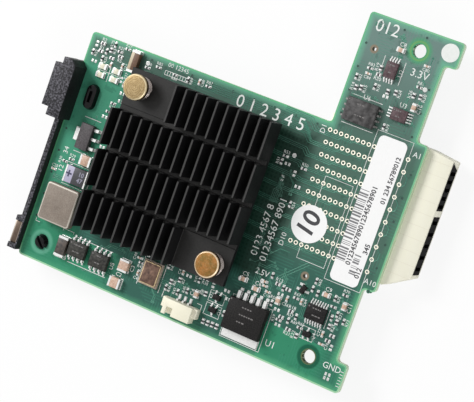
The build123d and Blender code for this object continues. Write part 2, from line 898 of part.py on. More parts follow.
large_spots = [at(x, y, board_top, turn) for x, y, turn in large_ceramic_places]
small_spots = [at(x, y, board_top, turn) for x, y, turn in ceramic_places + from_right(ceramic_insets)]
bodies = []
ends = []
for spots, (middle, pair) in ((large_spots, large_ceramic), (small_spots, ceramic)):
    bodies += [spot * middle for spot in spots]
    ends += [spot * end for spot in spots for end in pair]
save("ceramic_capacitor_bodies", *bodies)
save("ceramic_capacitor_ends", *ends)

# Blank labels on the board
rating = extrude(
    RectangleRounded(rating_label_length, rating_label_width, rating_label_corner), label_thickness)
save("rating_label", at(board_length - rating_label_inset, rating_label_y, board_top) * rating)
disc = Cylinder(round_label_radius, label_thickness, align=MIDDLE_UP)
save("round_label", at(board_length - round_label_inset, round_label_y, board_top) * disc)
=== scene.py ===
import json
import math
import random

import bpy
from mathutils import Matrix, Vector


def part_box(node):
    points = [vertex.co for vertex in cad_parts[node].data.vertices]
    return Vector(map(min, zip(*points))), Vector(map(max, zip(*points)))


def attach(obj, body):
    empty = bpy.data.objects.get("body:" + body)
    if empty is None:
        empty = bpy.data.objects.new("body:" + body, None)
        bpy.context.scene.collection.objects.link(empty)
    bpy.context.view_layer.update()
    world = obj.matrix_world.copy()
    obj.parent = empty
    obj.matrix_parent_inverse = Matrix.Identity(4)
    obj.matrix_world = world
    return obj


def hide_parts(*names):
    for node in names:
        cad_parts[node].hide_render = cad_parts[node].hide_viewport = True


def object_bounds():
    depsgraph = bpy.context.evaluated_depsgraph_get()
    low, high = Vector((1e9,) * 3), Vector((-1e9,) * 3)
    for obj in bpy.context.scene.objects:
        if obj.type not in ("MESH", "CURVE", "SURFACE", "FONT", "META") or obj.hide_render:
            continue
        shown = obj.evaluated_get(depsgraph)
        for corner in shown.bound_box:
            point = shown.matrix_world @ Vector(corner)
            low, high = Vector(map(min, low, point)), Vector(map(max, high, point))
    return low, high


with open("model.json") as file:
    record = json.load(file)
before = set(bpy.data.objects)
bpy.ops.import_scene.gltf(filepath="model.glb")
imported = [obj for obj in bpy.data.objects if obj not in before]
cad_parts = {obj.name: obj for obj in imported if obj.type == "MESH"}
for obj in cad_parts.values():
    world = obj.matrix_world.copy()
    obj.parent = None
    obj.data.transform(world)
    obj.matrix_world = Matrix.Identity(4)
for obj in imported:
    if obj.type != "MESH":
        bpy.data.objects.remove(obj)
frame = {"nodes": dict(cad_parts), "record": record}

cad_box = [list(corner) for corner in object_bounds()]

# Circuit board. A routed sheet of glass-epoxy laminate: the bare rim is pale green where light passes it,
# and inside the rim copper planes lie under a green solder mask on both sides.
mm = 0.001
board_low, board_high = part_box("circuit_board")
board_top = board_high.z
board_patches = [
    (0.0, 0.0, 85.7, 57.2), (65.1, 0.0, 85.7, 84.0),
    (75.0, 0.0, 88.6, 6.9), (75.0, 24.6, 88.6, 59.8), (75.0, 77.8, 88.6, 84.0),
]
screw_holes = [(79.05, 5.3), (79.05, 79.1)]
tooling_holes = [(68.8, 76.1), (71.65, 22.15)]
peg = (5.1, 4.9)
plane_margin = 0.4
plane_thickness = 0.03
most_hole_sides = 60
weld_gap = 0.0005
flat_angle = math.radians(0.5)


def spot(x, y, z=0.0):
    """A point in millimetres from the board's lower left corner and above its top face, in the frame."""
    return Vector((board_low.x + x * mm, board_low.y + y * mm, board_top + z * mm))


class Value:
    """A shader socket. Arithmetic on it adds Math nodes to the finish that it belongs to."""

    def __init__(self, finish, socket):
        self.finish = finish
        self.socket = socket

    def math(self, operation, first, second=0.0):
        return self.finish.node("Math", {"operation": operation}, {0: first, 1: second})

    def __add__(self, other):
        return self.math("ADD", self, other)

    def __radd__(self, other):
        return self.math("ADD", other, self)

    def __sub__(self, other):
        return self.math("SUBTRACT", self, other)

    def __rsub__(self, other):
        return self.math("SUBTRACT", other, self)

    def __mul__(self, other):
        return self.math("MULTIPLY", self, other)

    def __rmul__(self, other):
        return self.math("MULTIPLY", other, self)

    def __gt__(self, other):
        return self.math("GREATER_THAN", self, other)

    def __lt__(self, other):
        return self.math("LESS_THAN", self, other)

    def __abs__(self):
        return self.math("ABSOLUTE", self)

    def __pow__(self, other):
        return self.math("POWER", self, other)

    def fract(self):
        return self.math("FRACT", self)

    def least(self, other):
        return self.math("MINIMUM", self, other)

    def most(self, other):
        return self.math("MAXIMUM", self, other)


class Finish:
    """One material in the making. Its place is in millimetres, so that pattern scales are per millimetre."""

    def __init__(self, name, backdrop=None):
        self.material = backdrop or bpy.data.materials.new(name)
        self.material.use_nodes = True
        self.tree = self.material.node_tree
        self.shader = self.tree.nodes["Background" if backdrop else "Principled BSDF"]
        metres = self.node("TexCoord", output="Object")
        self.place = self.node("VectorMath", {"operation": "SCALE"}, {"Vector": metres, "Scale": 1 / mm})
        self.x = self.node("SeparateXYZ", {}, {0: self.place}, "X")
        self.y = self.node("SeparateXYZ", {}, {0: self.place}, "Y")
        self.z = self.node("SeparateXYZ", {}, {0: self.place}, "Z")

    def plug(self, socket, value):
        """Link a socket to a value, or set it to a number, a vector or an opaque colour."""
        if isinstance(value, Value):
            self.tree.links.new(value.socket, socket)
        elif socket.type == "RGBA":
            socket.default_value = (*value, 1.0)
        else:
            socket.default_value = value

    def node(self, kind, settings={}, inputs={}, output=0):
        """Any node: its type, its settings, the values or links of its sockets, and the output wanted."""
        made = self.tree.nodes.new("ShaderNode" + kind)
        for name, setting in settings.items():
            if name == "stops":
                for position, colour in setting[1:-1]:
                    made.color_ramp.elements.new(position)
                for element, (position, colour) in zip(made.color_ramp.elements, setting):
                    element.position = position
                    element.color = (*colour, 1.0)
            else:
                setattr(made, name, setting)
        for name, value in inputs.items():
            self.plug(made.inputs[name], value)
        return Value(self, made.outputs[output])

    def noise(self, scale, detail=2.0, place=None):
        return self.node("TexNoise", {}, {"Vector": place or self.place, "Scale": scale, "Detail": detail})

    def stretched(self, across, along, high):
        """The place with each axis scaled by its own factor, for brushed and woven patterns."""
        return self.node("VectorMath", {"operation": "MULTIPLY"}, {0: self.place, 1: (across, along, high)})

    def ramp(self, value, *stops):
        return self.node("ValToRGB", {"stops": stops}, {0: value})

    def mix(self, first, second, factor):
        return self.node("Mix", {"data_type": "RGBA"}, {0: factor, 6: first, 7: second}, 2)

    def bump(self, height, distance):
        return self.node("Bump", {}, {"Height": height, "Distance": distance * mm, "Strength": 1.0})

    def reach(self, x, y):
        """The distance in millimetres from a card point, seen from above."""
        centre = spot(x, y) / mm
        return ((self.x - centre.x) ** 2.0 + (self.y - centre.y) ** 2.0) ** 0.5

    def within(self, low, high):
        """The distance from the nearest side of a box in millimetres, seen from above, inside the box."""
        across = (self.x - low.x).least(high.x - self.x)
        return across.least((self.y - low.y).least(high.y - self.y))

    def inside(self, left, low, right, high):
        """The distance from the nearest side of a rectangle on the card, inside the rectangle."""
        return self.within(spot(left, low) / mm, spot(right, high) / mm)

    def fade(self, value, start, end):
        """From 0 where a value is at its start to 1 where it is at its end."""
        return self.node("MapRange", {}, {0: value, 1: start, 2: end})

    def upright(self):
        """How much a face looks up or down, from 0 on the sides to 1."""
        normal = self.node("NewGeometry", output="Normal")
        return abs(self.node("SeparateXYZ", {}, {0: normal}, "Z"))

    def shown(self):
        """1 where the camera, a mirror or a clear piece sees a surface, and 0 for the light that it gives."""
        camera = self.node("LightPath", output="Is Camera Ray")
        mirrored = self.node("LightPath", output="Is Glossy Ray")
        return camera.most(mirrored).most(self.node("LightPath", output="Is Transmission Ray"))

    def surface(self, sockets):
        """Plug the shader's sockets and give the finished material."""
        for name, value in sockets.items():
            self.plug(self.shader.inputs[name], value)
        return self.material


def dress(material, *nodes):
    """Give CAD pieces their finish."""
    for node in nodes:
        frame["nodes"][node].data.materials.clear()
        frame["nodes"][node].data.materials.append(material)


def only(*pieces):
    """Select these objects and nothing else, with the first one active."""
    bpy.ops.object.select_all(action="DESELECT")
    for piece in pieces:
        piece.select_set(True)
    bpy.context.view_layer.objects.active = pieces[0]


def edit(*steps):
    """Run edit-mode steps on the whole mesh of the active object."""
    bpy.ops.object.mode_set(mode="EDIT")
    bpy.ops.mesh.select_all(action="SELECT")
    for step in steps:
        step()
    bpy.ops.object.mode_set(mode="OBJECT")


def extrude_up(height):
    """Extrude the selected faces straight up, in millimetres, or down where the height is negative."""
    bpy.ops.mesh.extrude_region_move(TRANSFORM_OT_translate={"value": (0, 0, height * mm)})


def face_out():
    """Point all faces outwards."""
    bpy.ops.mesh.select_all(action="SELECT")
    bpy.ops.mesh.normals_make_consistent(inside=False)


def apply(piece, kind, **settings):
    """Add one modifier and apply it."""
    only(piece)
    modifier = piece.modifiers.new(kind.lower(), kind)
    for name, value in settings.items():
        setattr(modifier, name, value)
    bpy.ops.object.modifier_apply(modifier=modifier.name)


def welded(node, name):
    """A copy of a CAD piece as one joined mesh, ready for modelling."""
    piece = bpy.data.objects.new(name, frame["nodes"][node].data.copy())
    bpy.context.scene.collection.objects.link(piece)
    only(piece)
    bpy.ops.mesh.customdata_custom_splitnormals_clear()
    piece.data.materials.clear()
    edit(
        lambda: bpy.ops.mesh.remove_doubles(threshold=weld_gap * mm),
        lambda: bpy.ops.mesh.dissolve_limited(angle_limit=flat_angle),
    )
    return piece


def add(piece, material, slot, *nodes):
    """Finish a new piece: its material, its body and the CAD pieces that it stands for, which it hides; the
    record's slot is not used.
    """
    if material:
        piece.data.materials.append(material)
    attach(piece, "root")
    if nodes:
        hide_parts(*nodes)
    return piece


def laminate():
    """Bare glass epoxy: green near the left edge, paler along the lower one, with plies on its sides."""
    f = Finish("glass_epoxy_laminate")
    row = f.y - board_low.y / mm
    column = f.x - board_low.x / mm
    green = f.mix((0.055, 0.329, 0.153), (0.122, 0.488, 0.244), f.noise(0.35, 4.0))
    pale = f.mix((0.268, 0.561, 0.317), (0.415, 0.683, 0.439), f.noise(0.5, 4.0))
    rim = f.mix(green, pale, f.fade(row, 3.0, 0.0) + f.fade(column, 60.0, 72.0) * 0.35)
    plies = (f.z * 5.0).fract() > 0.5
    side = f.mix((0.61, 0.756, 0.537), (0.488, 0.659, 0.427), plies)
    weave = (f.node("TexWave", {}, {"Vector": f.place, "Scale": 0.6}) + f.noise(3.0)) * 0.5
    return f.surface({
        "Base Color": f.mix(side, rim, f.upright() > 0.5),
        "Roughness": 0.35 + 0.2 * f.noise(2.0),
        "Normal": f.bump(weave, 0.01),
    })


def solder_mask():
    """Green mask: dark over deep planes, brighter over poured copper, and darkened beside the heat sink by a
    painted shadow of the sink, dotted with tented vias; pale at the rim, partly bare laminate and partly
    painted light.
    """
    f = Finish("solder_mask")
    column = f.x - board_low.x / mm
    row = f.y - board_low.y / mm
    wander = (f.noise(0.12, 3.0) - 0.5) * 6.0
    left_pour = f.fade(column + wander, 15.0, 12.0) * (row > 8.0) * f.fade(row + wander, 52.0, 49.0)
    corner_pour = (column + wander > 66.0) * (row + wander * 0.4 < 9.0)
    corner_pour = corner_pour * (1.0 - 0.5 * f.fade(column, 81.0, 84.0))
    lower_pour = (row < 9.5) * f.fade(column + wander, 29.0, 21.0)
    upper_side = f.z > (board_low.z + board_high.z) / 2 / mm
    pour = f.node("Clamp", {}, {0: left_pour + corner_pour + lower_pour}) * upper_side
    deep = f.ramp(
        row * (mm / (board_high.y - board_low.y)),
        (0.26, (0.0354, 0.117, 0.089)),
        (0.38, (0.0732, 0.144, 0.112)),
        (0.64, (0.0732, 0.144, 0.112)),
        (0.78, (0.107, 0.183, 0.156)),
        (0.92, (0.156, 0.246, 0.22)),
    )
    bright = f.mix((0.0708, 0.323, 0.205), (0.0488, 0.262, 0.159), f.noise(0.2, 3.0))
    rich = f.mix((0.0415, 0.262, 0.146), (0.0268, 0.201, 0.11), f.noise(0.2, 3.0))
    colour = f.mix(deep, f.mix(rich, bright, f.fade(row, 8.0, 16.0)), pour)
    cell = f.node("TexVoronoi", {"distance": "CHEBYCHEV"}, {"Vector": f.place, "Scale": 0.22}, "Color")
    lengthwise = f.node("SeparateXYZ", {}, {0: cell}, "X")
    along = f.x * (lengthwise > 0.5) + f.y * (lengthwise < 0.5)
    buried = ((along * 1.4).fract() > 0.62) * (f.node("SeparateXYZ", {}, {0: cell}, "Y") > 0.45)
    colour = f.mix(colour, (0.0671, 0.293, 0.201), buried * 0.22)
    colour = f.mix(colour, (0.0049, 0.0586, 0.039), (f.noise(0.5, 5.0) > 0.62) * 0.25)
    # Painted shadow of the heat sink: the mask beside the sink is darkened, dotted with the tented vias of a
    # dense field.
    sink_shadow_field = f.fade(f.inside(48.0, 16.0, 64.0, 54.0) + 0.4 * wander, 0.0, 2.6) * upper_side
    tented = (((f.x.fract() - 0.5) ** 2.0 + (f.y.fract() - 0.5) ** 2.0) ** 0.5) < 0.27
    colour = f.mix(colour, (0.0037, 0.0207, 0.0122), sink_shadow_field * (0.87 + 0.10 * tented))
    near, far = [f.reach(x, y) for x, y in screw_holes]
    colour = f.mix(colour, (0.061, 0.366, 0.159), f.fade(far, 3.4, 2.2) * 0.85)
    colour = f.mix(colour, (0.207, 0.39, 0.122), f.fade(abs(far - 2.1), 0.35, 0.1) * 0.6)
    colour = f.mix(colour, (0.0049, 0.0793, 0.0439), f.fade(near, 3.0, 2.6) * 0.85)
    colour = f.mix(colour, (0.171, 0.183, 0.0854), f.fade(near, 1.95, 1.75) * 0.7)
    for x, y in tooling_holes:
        colour = f.mix(colour, (0.268, 0.207, 0.146), f.fade(f.reach(x, y), 1.15, 0.85) * 0.9)
    colour = f.mix(colour, (0.207, 0.537, 0.39), f.fade(abs(f.reach(*peg) - 2.5), 0.8, 0.2) * 0.4)
    depth = f.inside(*board_patches[0])
    for patch in board_patches[1:]:
        depth = depth.most(f.inside(*patch))
    # Painted light at the rim: the bare laminate there is paler, and the painted glow is stronger towards the
    # right and upper edges and weaker along the edge beside the connector.
    rim = f.fade(depth + 0.5 * f.noise(0.4, 3.0), 2.1, 0.5)
    right = f.fade(column, 58.0, 70.0)
    upper = f.fade(row, 50.0, 56.0)
    covered = f.fade(f.inside(80.0, 22.0, 92.0, 60.0), 0.0, 2.0)
    glow = (0.4 + 0.4 * right.most(upper)) * (1.0 - 0.7 * covered)
    colour = f.mix(colour, f.mix((0.104, 0.427, 0.226), (0.159, 0.488, 0.317), upper), rim * glow)
    return f.surface({
        "Base Color": colour,
        "Roughness": 0.32 + 0.16 * f.noise(1.5, 3.0),
        "Normal": f.bump(buried + f.noise(6.0) * 0.3, 0.012),
        "Specular IOR Level": 0.15,
    })


def pick(piece, test):
    """Select just the faces that pass a test, ready for face mode."""
    bpy.context.tool_settings.mesh_select_mode = (False, False, True)
    for part in (*piece.data.vertices, *piece.data.edges):
        part.select = False
    for face in piece.data.polygons:
        face.select = test(face)


dress(laminate(), "circuit_board")
mask = solder_mask()
planes = welded("circuit_board", "copper_planes")
pick(planes, lambda face: face.normal.z < 0.9)
bpy.ops.object.mode_set(mode="EDIT")
bpy.ops.mesh.delete(type="FACE")
bpy.ops.mesh.select_all(action="SELECT")
bpy.ops.mesh.fill_holes(sides=most_hole_sides)
bpy.ops.mesh.select_all(action="SELECT")
bpy.ops.mesh.dissolve_limited(angle_limit=flat_angle)
bpy.ops.mesh.inset(thickness=plane_margin * mm, use_even_offset=True)
bpy.ops.mesh.select_all(action="INVERT")
bpy.ops.mesh.delete(type="FACE")
bpy.ops.mesh.select_all(action="SELECT")
bpy.ops.transform.translate(value=(0, 0, plane_thickness * mm))
extrude_up((board_low.z - board_high.z) / mm - 2 * plane_thickness)
face_out()
bpy.ops.object.mode_set(mode="OBJECT")
drill = welded("circuit_board", "scratch")
edit(lambda: bpy.ops.transform.resize(value=(1.0, 1.0, 1.5), center_override=(board_low + board_high) / 2))
apply(planes, "BOOLEAN", object=drill, operation="INTERSECT", solver="EXACT")
bpy.data.objects.remove(drill)
add(planes, mask, "board_laminate")

# Copper traces. Etched tracks under the mask, seen as fine raised lines: they leave the rows of press-fit
# holes in bundles, bend at 45 degrees and run under the heat sink, and others join the small parts.
hole_pitch_x = 1.42
hole_pitch_y = 3.0
hole_columns = [65.4 + hole_pitch_x * column for column in range(15)]
hole_rows = [55.5 - hole_pitch_y * row for row in range(10)]
trace_width = 0.2
trace_height = 0.05
trace_level = 0.03
track_gap = 0.42
stake = (5.3, 42.2)
disc_place = (86.0, 81.0)
keep_clear = [(*place, 3.2) for place in screw_holes] + [(*place, 1.7) for place in tooling_holes]
keep_clear += [(*peg, 3.0), (*stake, 4.3), (*disc_place, 2.6)]


def footprint(low, high):
    """The sides of a box on the card in millimetres: left, low, right and high."""
    sides = (low - board_low) / mm, (high - board_low) / mm
    return [sides[0].x, sides[0].y, sides[1].x, sides[1].y]


def ribbon(name, lines, width, height, level):
    """Flat strips along lines of card points: curves with a flattened section, made one mesh."""
    curve = bpy.data.curves.new(name, "CURVE")
    curve.dimensions = "3D"
    curve.bevel_depth = width / 2 * mm
    curve.bevel_resolution = 0
    curve.use_fill_caps = True
    for line in lines:
        closed = line[0] == line[-1]
        points = line[:-1] if closed else line
        spline = curve.splines.new("POLY")
        spline.points.add(len(points) - 1)
        spline.use_cyclic_u = closed
        for point, (x, y) in zip(spline.points, points):
            point.co = (*spot(x, y, level), 1.0)
    piece = bpy.data.objects.new(name, curve)
    bpy.context.scene.collection.objects.link(piece)
    only(piece)
    bpy.ops.object.convert(target="MESH")
    flat = (1.0, 1.0, height / width)
    edit(lambda: bpy.ops.transform.resize(value=flat, center_override=spot(0, 0, level)))
    return bpy.context.active_object


def masked_copper():
    """Mask over a raised track: a lighter green than over the planes, dim in the shade of the heat sink."""
    f = Finish("masked_copper")
    lit = f.ramp(f.noise(0.25, 3.0), (0.3, (0.0366, 0.189, 0.128)), (0.7, (0.104, 0.317, 0.226)))
    beside_sink = f.fade(f.inside(46.0, 16.0, 63.0, 54.0), 0.0, 2.6)
    return f.surface({
        "Base Color": f.mix(lit, (0.008, 0.040, 0.026), 0.72 * beside_sink),
        "Roughness": 0.28 + 0.2 * f.noise(2.0),
        "Normal": f.bump(f.noise(8.0), 0.01),
    })


traces = []
for index, row in enumerate(hole_rows):
    rise = 2.0 - 0.45 * index
    for step in range(3):
        drop = 0.75 + 0.38 * step
        start = hole_columns[7 - 2 * step]
        bend = 62.6 - 0.4 * step - 0.5 * (index % 2)
        line = [(start, row), (start - drop, row - drop), (bend, row - drop)]
        line += [(bend - abs(rise), row - drop + rise), (53.5, row - drop + rise + 0.3)]
        traces.append(line)
for step in range(5):
    y = 53.9 + 0.45 * step
    bend = 59.5 - 0.2 * step
    traces.append([(22.0 + 3.0 * step, y), (bend, y), (bend + 2.5, y - 2.5)])
for step in range(4):
    y = 52.3 - 6.0 * step
    traces.append([(85.6, y), (86.6, y - 1.0), (86.6, y - 2.4), (85.9, y - 3.1)])
traces += [[(65.3, 19.4), (71.4, 25.3)], [(65.9, 19.2), (71.9, 24.9)]]
traces += [[(61.4, 21.4), (61.4, 23.4), (63.8, 25.8), (66.4, 25.8)]]
dice = random.Random(7)
trace_fields = [
    (56.0, 64.5, 20.5, 51.0, 9),
    (57.0, 83.5, 8.5, 22.5, 14),
    (67.0, 84.0, 60.0, 82.0, 15),
    (2.0, 14.0, 20.0, 55.0, 13),
    (14.5, 55.5, 2.2, 12.0, 16),
]
track_ends = []
for left, right, low, high, count in trace_fields:
    for bundle in range(count):
        x = dice.uniform(left, right)
        y = dice.uniform(low, high)
        upright = dice.random() < 0.5
        first = dice.uniform(1.0, 3.5)
        jog = dice.choice((-1.0, 1.0)) * dice.uniform(0.5, 1.6)
        last = dice.uniform(1.0, 4.5)
        for track in range(dice.choice((1, 2, 2, 3, 4))):
            side = track * track_gap
            bend = first - 0.17 * track
            end = first + abs(jog) + last - 0.6 * track
            runs = [(0.0, side), (bend, side), (bend + abs(jog), side + jog), (end, side + jog)]
            line = [(x + across, y + along) if upright else (x + along, y + across) for along, across in runs]
            inside = all(left <= px <= right and low <= py <= high for px, py in line)
            clear = all(math.dist(point, (cx, cy)) > reach for point in line for cx, cy, reach in keep_clear)
            if inside and clear:
                traces.append(line)
                track_ends += [line[0], line[-1]]
copper = masked_copper()
add(ribbon("copper_traces", traces, trace_width, trace_height, trace_level), copper, "board_laminate")
board_depth = (board_high.z - board_low.z) / mm
below_level = -board_depth - trace_level
plug_left, plug_foot, plug_right, plug_head = footprint(*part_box("mezzanine_plug_housing"))
plug_tracks = 26
plug_inset = 1.6
under_traces = []
under_ends = []
for step in range(plug_tracks):
    y = plug_foot + plug_inset + (plug_head - plug_foot - 2 * plug_inset) * step / (plug_tracks - 1)
    shift = 0.45 * ((plug_foot + plug_head) / 2 - y)
    bend = plug_right + 1.2 + 0.3 * abs(step - (plug_tracks - 1) / 2)
    end = 62.6 - step % 3
    under_traces.append([(plug_right, y), (bend, y), (bend + abs(shift), y + shift), (end, y + shift)])
    stub = plug_left - 1.2 - 1.1 * (step % 3)
    under_traces.append([(plug_left, y), (stub, y)])
    under_ends += [(end, y + shift), (stub, y)]
under_copper = ribbon("underside_traces", under_traces, trace_width, trace_height, below_level)
add(under_copper, copper, "board_laminate")

# Plated holes. Drilled through the board and plated: ten rows of press-fit holes for the midplane connector,
# small vias at the ends of the tracks, and stitching vias round the rim with the mask over them.
ring_radius = 0.55
ring_hole = 0.31
ring_height = 0.07
via_radius = 0.30
via_hole = 0.13
via_height = 0.04
stitch_radius = 0.48
stitch_hole = 0.3
stitch_height = 0.03
stitch_gap = 5.6
below = Matrix.Rotation(math.pi, 4, "X")


def at(x, y, z=0.0, turn=0.0, scale=(1.0, 1.0, 1.0)):
    """Where a copy goes: a card point, a turn in degrees about +Z and a scale."""
    return Matrix.LocRotScale(spot(x, y, z), Matrix.Rotation(math.radians(turn), 3, "Z"), Vector(scale))


def primitive(shape, **settings):
    """A primitive to start a piece from, with nothing else selected."""
    bpy.ops.object.select_all(action="DESELECT")
    shape(**settings)
    return bpy.context.active_object


def eyelet(radius, hole, height, plating, inside, sides=12):
    """A plated ring about a blind hole, standing on the origin. The hole's faces take the second material."""
    circle = bpy.ops.mesh.primitive_circle_add
    piece = primitive(circle, vertices=sides, radius=radius * mm, fill_type="NGON")
    edit(
        lambda: extrude_up(height),
        lambda: bpy.ops.transform.resize(value=(0.9, 0.9, 1.0)),
        lambda: bpy.ops.mesh.inset(thickness=(radius * 0.9 - hole) * mm),
        lambda: extrude_up(-0.8 * height),
        face_out,
    )
    for face in piece.data.polygons:
        face.material_index = int(face.center.xy.length < hole * 1.02 * mm and face.center.z > 0)
    piece.data.materials.append(plating)
    piece.data.materials.append(inside)
    return piece


def joined(name, parts):
    """Objects joined as one piece, with its place in its mesh."""
    only(*parts)
    bpy.ops.object.join()
    bpy.ops.object.transform_apply(location=True, rotation=True, scale=True)
    piece = bpy.context.active_object
    piece.name = name
    return piece


def spread(model, name, places):
    """One model copied to many places and joined as one piece."""
    copies = []
    for place in places:
        copy = model.copy()
        copy.data = model.data.copy()
        bpy.context.scene.collection.objects.link(copy)
        copy.matrix_world = place
        copies.append(copy)
    bpy.data.objects.remove(model)
    return joined(name, copies)


def metal(name, first, second, roughness):
    """A plated or bare metal: its colour drifts between two tones, and its gloss with it."""
    f = Finish(name)
    return f.surface({
        "Base Color": f.mix(first, second, f.noise(1.5, 4.0)),
        "Metallic": 0.75,
        "Roughness": roughness - 0.1 + 0.2 * f.noise(3.0, 3.0),
        "Normal": f.bump(f.noise(6.0, 3.0), 0.01),
    })


def drilled():
    """The dark inside of a drilled hole."""
    f = Finish("drilled_hole")
    return f.surface({
        "Base Color": f.mix((0.0049, 0.0293, 0.0207), (0.0146, 0.061, 0.0439), f.noise(3.0)),
        "Roughness": 0.5 + 0.2 * f.noise(6.0),
    })


def under(x, y, low, high, margin):
    """Whether a card point lies under a box, further in than a margin."""
    point = spot(x, y)
    inside_x = low.x + margin * mm < point.x < high.x - margin * mm
    return inside_x and low.y + margin * mm < point.y < high.y - margin * mm


hole_dark = drilled()
label_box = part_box("rating_label")
seal_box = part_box("round_label")
rings = []
for x in hole_columns:
    for y in hole_rows:
        if not under(x, y, *label_box, 0.0) and not under(x, y, *seal_box, 0.6):
            rings.append(at(x, y, trace_level))
gilt = metal("gold_flash", (0.86, 0.80, 0.62), (0.95, 0.93, 0.84), 0.45)
ring = eyelet(ring_radius, ring_hole, ring_height, gilt, hole_dark)
add(spread(ring, "press_fit_holes", rings), None, "tinned_metal")
vias = [at(x, y, trace_level) for x, y in track_ends]
vias += [at(x, y, below_level) @ below for x, y in track_ends + under_ends]
via = eyelet(via_radius, via_hole, via_height, copper, hole_dark, 8)
add(spread(via, "signal_vias", vias), None, "board_laminate")
stitches = [(66.5, 60.0 + stitch_gap * step) for step in range(4)]
stitches += [(84.3, 60.5 + stitch_gap * step) for step in range(3)]
stitches += [(68.5 + stitch_gap * step, 82.4) for step in range(3)]
stitches += [(6.0 + stitch_gap * step, 55.7) for step in range(11)]
stitches += [(1.5, 10.5 + stitch_gap * step) for step in range(5)]
stitches += [(87.1, 24.5 + stitch_gap * step) for step in range(6)]
sides = [at(x, y, trace_level) for x, y in stitches]
sides += [at(x, y, below_level) @ below for x, y in stitches]
stitch = eyelet(stitch_radius, stitch_hole, stitch_height, mask, hole_dark)
add(spread(stitch, "stitching_vias", sides), None, "board_laminate")

# Solder pads. Tinned copper lands under every lead and end, a little larger than what they carry,
# with the solder drawn up round their edges; a few are left without a part, as test points.
pad_margin = 0.12
lead_margin = 0.02
lead_reach = 0.25
pad_height = 0.09
bare_patch = (1.7, 0.8)
bare_land = (0.55, 0.75, 0.6)
chip_patch = (1.6, 0.7)
chip_land = (0.6, 0.62, 0.7)
chip_reach = 0.5
place_step = 0.25
point_radius = 0.55
slot_of = {row["node"]: row["material_slot"] for row in frame["record"]["subparts"]}


def solids(node):
    """The lowest and highest corners of each separate solid in a CAD piece, from left to right."""
    welded(node, "scratch")
    edit(lambda: bpy.ops.mesh.separate(type="LOOSE"))
    boxes = []
    for part in list(bpy.context.selected_objects):
        corners = [vertex.co for vertex in part.data.vertices]
        low = Vector([min(corner[axis] for corner in corners) for axis in range(3)])
        high = Vector([max(corner[axis] for corner in corners) for axis in range(3)])
        boxes.append((low, high))
        bpy.data.objects.remove(part)
    return sorted(boxes, key=lambda box: (round(box[0].x, 5), round(box[0].y, 5)))


def land():
    """A soldered land a millimetre square: a low plate with its upper edge drawn in."""
    piece = primitive(bpy.ops.mesh.primitive_plane_add, size=mm)
    edit(
        lambda: extrude_up(pad_height / 2),
        lambda: extrude_up(pad_height / 2),
        lambda: bpy.ops.transform.resize(value=(0.7, 0.7, 1.0)),
        face_out,
    )
    return piece


def coin(radius, height, sides, trim):
    """A low round plate standing on the origin, with one more step to trim its top."""
    circle = bpy.ops.mesh.primitive_circle_add
    piece = primitive(circle, vertices=sides, radius=radius * mm, fill_type="NGON")
    edit(lambda: extrude_up(height), trim, face_out)
    return piece


def solder():
    """Bright solder: tin with a soft wavy skin and duller patches of flux."""
    f = Finish("solder")
    skin = f.noise(2.2, 4.0)
    return f.surface({
        "Base Color": f.ramp(skin, (0.3, (0.38, 0.39, 0.38)), (0.65, (0.64, 0.64, 0.62))),
        "Metallic": 0.75,
        "Roughness": 0.25 + 0.3 * f.noise(3.0),
        "Normal": f.bump(skin, 0.03),
    })


def turned(patch, turn):
    """The width and depth of a patch after its turn."""
    return patch[::-1] if turn else patch


def vacant(x, y, wide, deep, gap):
    """Whether a patch of the card is clear of parts, labels, holes and earlier marks."""
    for left, low, right, high in occupied:
        beside = x + wide / 2 < left - gap or x - wide / 2 > right + gap
        if not beside and low - gap < y + deep / 2 and y - deep / 2 < high + gap:
            return False
    return all(math.hypot(x - cx, y - cy) > reach + deep / 2 for cx, cy, reach in keep_clear)


def take(x, y, wide, deep):
    """Mark a patch of the card as taken."""
    occupied.append([x - wide / 2, y - deep / 2, x + wide / 2, y + deep / 2])


def end_lands(x, y, turn, reach, size):
    """The two lands of a chip, so far to each side of its middle."""
    for side in (-reach, reach):
        lands.append(at(x + side * (turn == 0), y + side * (turn > 0), trace_level / 2, turn, size))


occupied = [footprint(*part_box("heat_sink")), [64.7, 27.6, 86.2, 56.3], [62.0, 20.6, 69.0, 26.6]]
for node in sorted(slot_of):
    if abs(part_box(node)[0].z - board_top) < 0.3 * mm:
        occupied += [footprint(low, high) for low, high in solids(node)]
lands = []
soldered = sorted(node for node in frame["nodes"] if slot_of.get(node) == "tinned_metal")
for node in soldered:
    if node == "memory_chip_leads":
        continue
    for low, high in solids(node):
        left, foot, right, head = footprint(low, high)
        wide = right - left
        deep = head - foot
        across = pad_margin
        along = pad_margin
        if "leads" in node:
            across = lead_reach if wide > deep else lead_margin
            along = lead_reach if deep > wide else lead_margin
        size = (wide + 2 * across, deep + 2 * along, 1.0)
        lands.append(at((left + right) / 2, (foot + head) / 2, trace_level / 2, 0.0, size))
bare_places = [
    (83.5, 17.7), (81.6, 15.1), (82.9, 14.6), (81.8, 11.5), (83.3, 11.9), (82.9, 10.5), (83.4, 9.2),
    (67.6, 16.0), (68.0, 12.4), (71.1, 13.3), (69.9, 11.3), (69.4, 9.2), (72.5, 8.4), (73.6, 9.9),
    (40.7, 8.2), (42.6, 9.6), (44.6, 11.5), (49.8, 8.9), (51.2, 11.8), (54.9, 11.8), (55.8, 10.1),
    (2.0, 54.7), (4.4, 55.4), (3.4, 53.2), (6.0, 54.3), (8.9, 54.0), (2.7, 50.5), (11.2, 48.6),
    (12.7, 45.6), (12.9, 43.7), (9.8, 41.7), (10.2, 38.9), (12.2, 31.9), (60.8, 43.1), (62.6, 40.5),
    (75.2, 66.9), (77.3, 65.3), (84.0, 68.6), (58.4, 44.6), (58.4, 41.1), (84.8, 3.3), (84.8, 2.3),
]
for index, (x, y) in enumerate(bare_places):
    turn = 90.0 * (index % 3 == 0)
    patch = turned(bare_patch, turn)
    if vacant(x, y, *patch, gap=0.05):
        take(x, y, *patch)
        end_lands(x, y, turn, 0.45, bare_land)
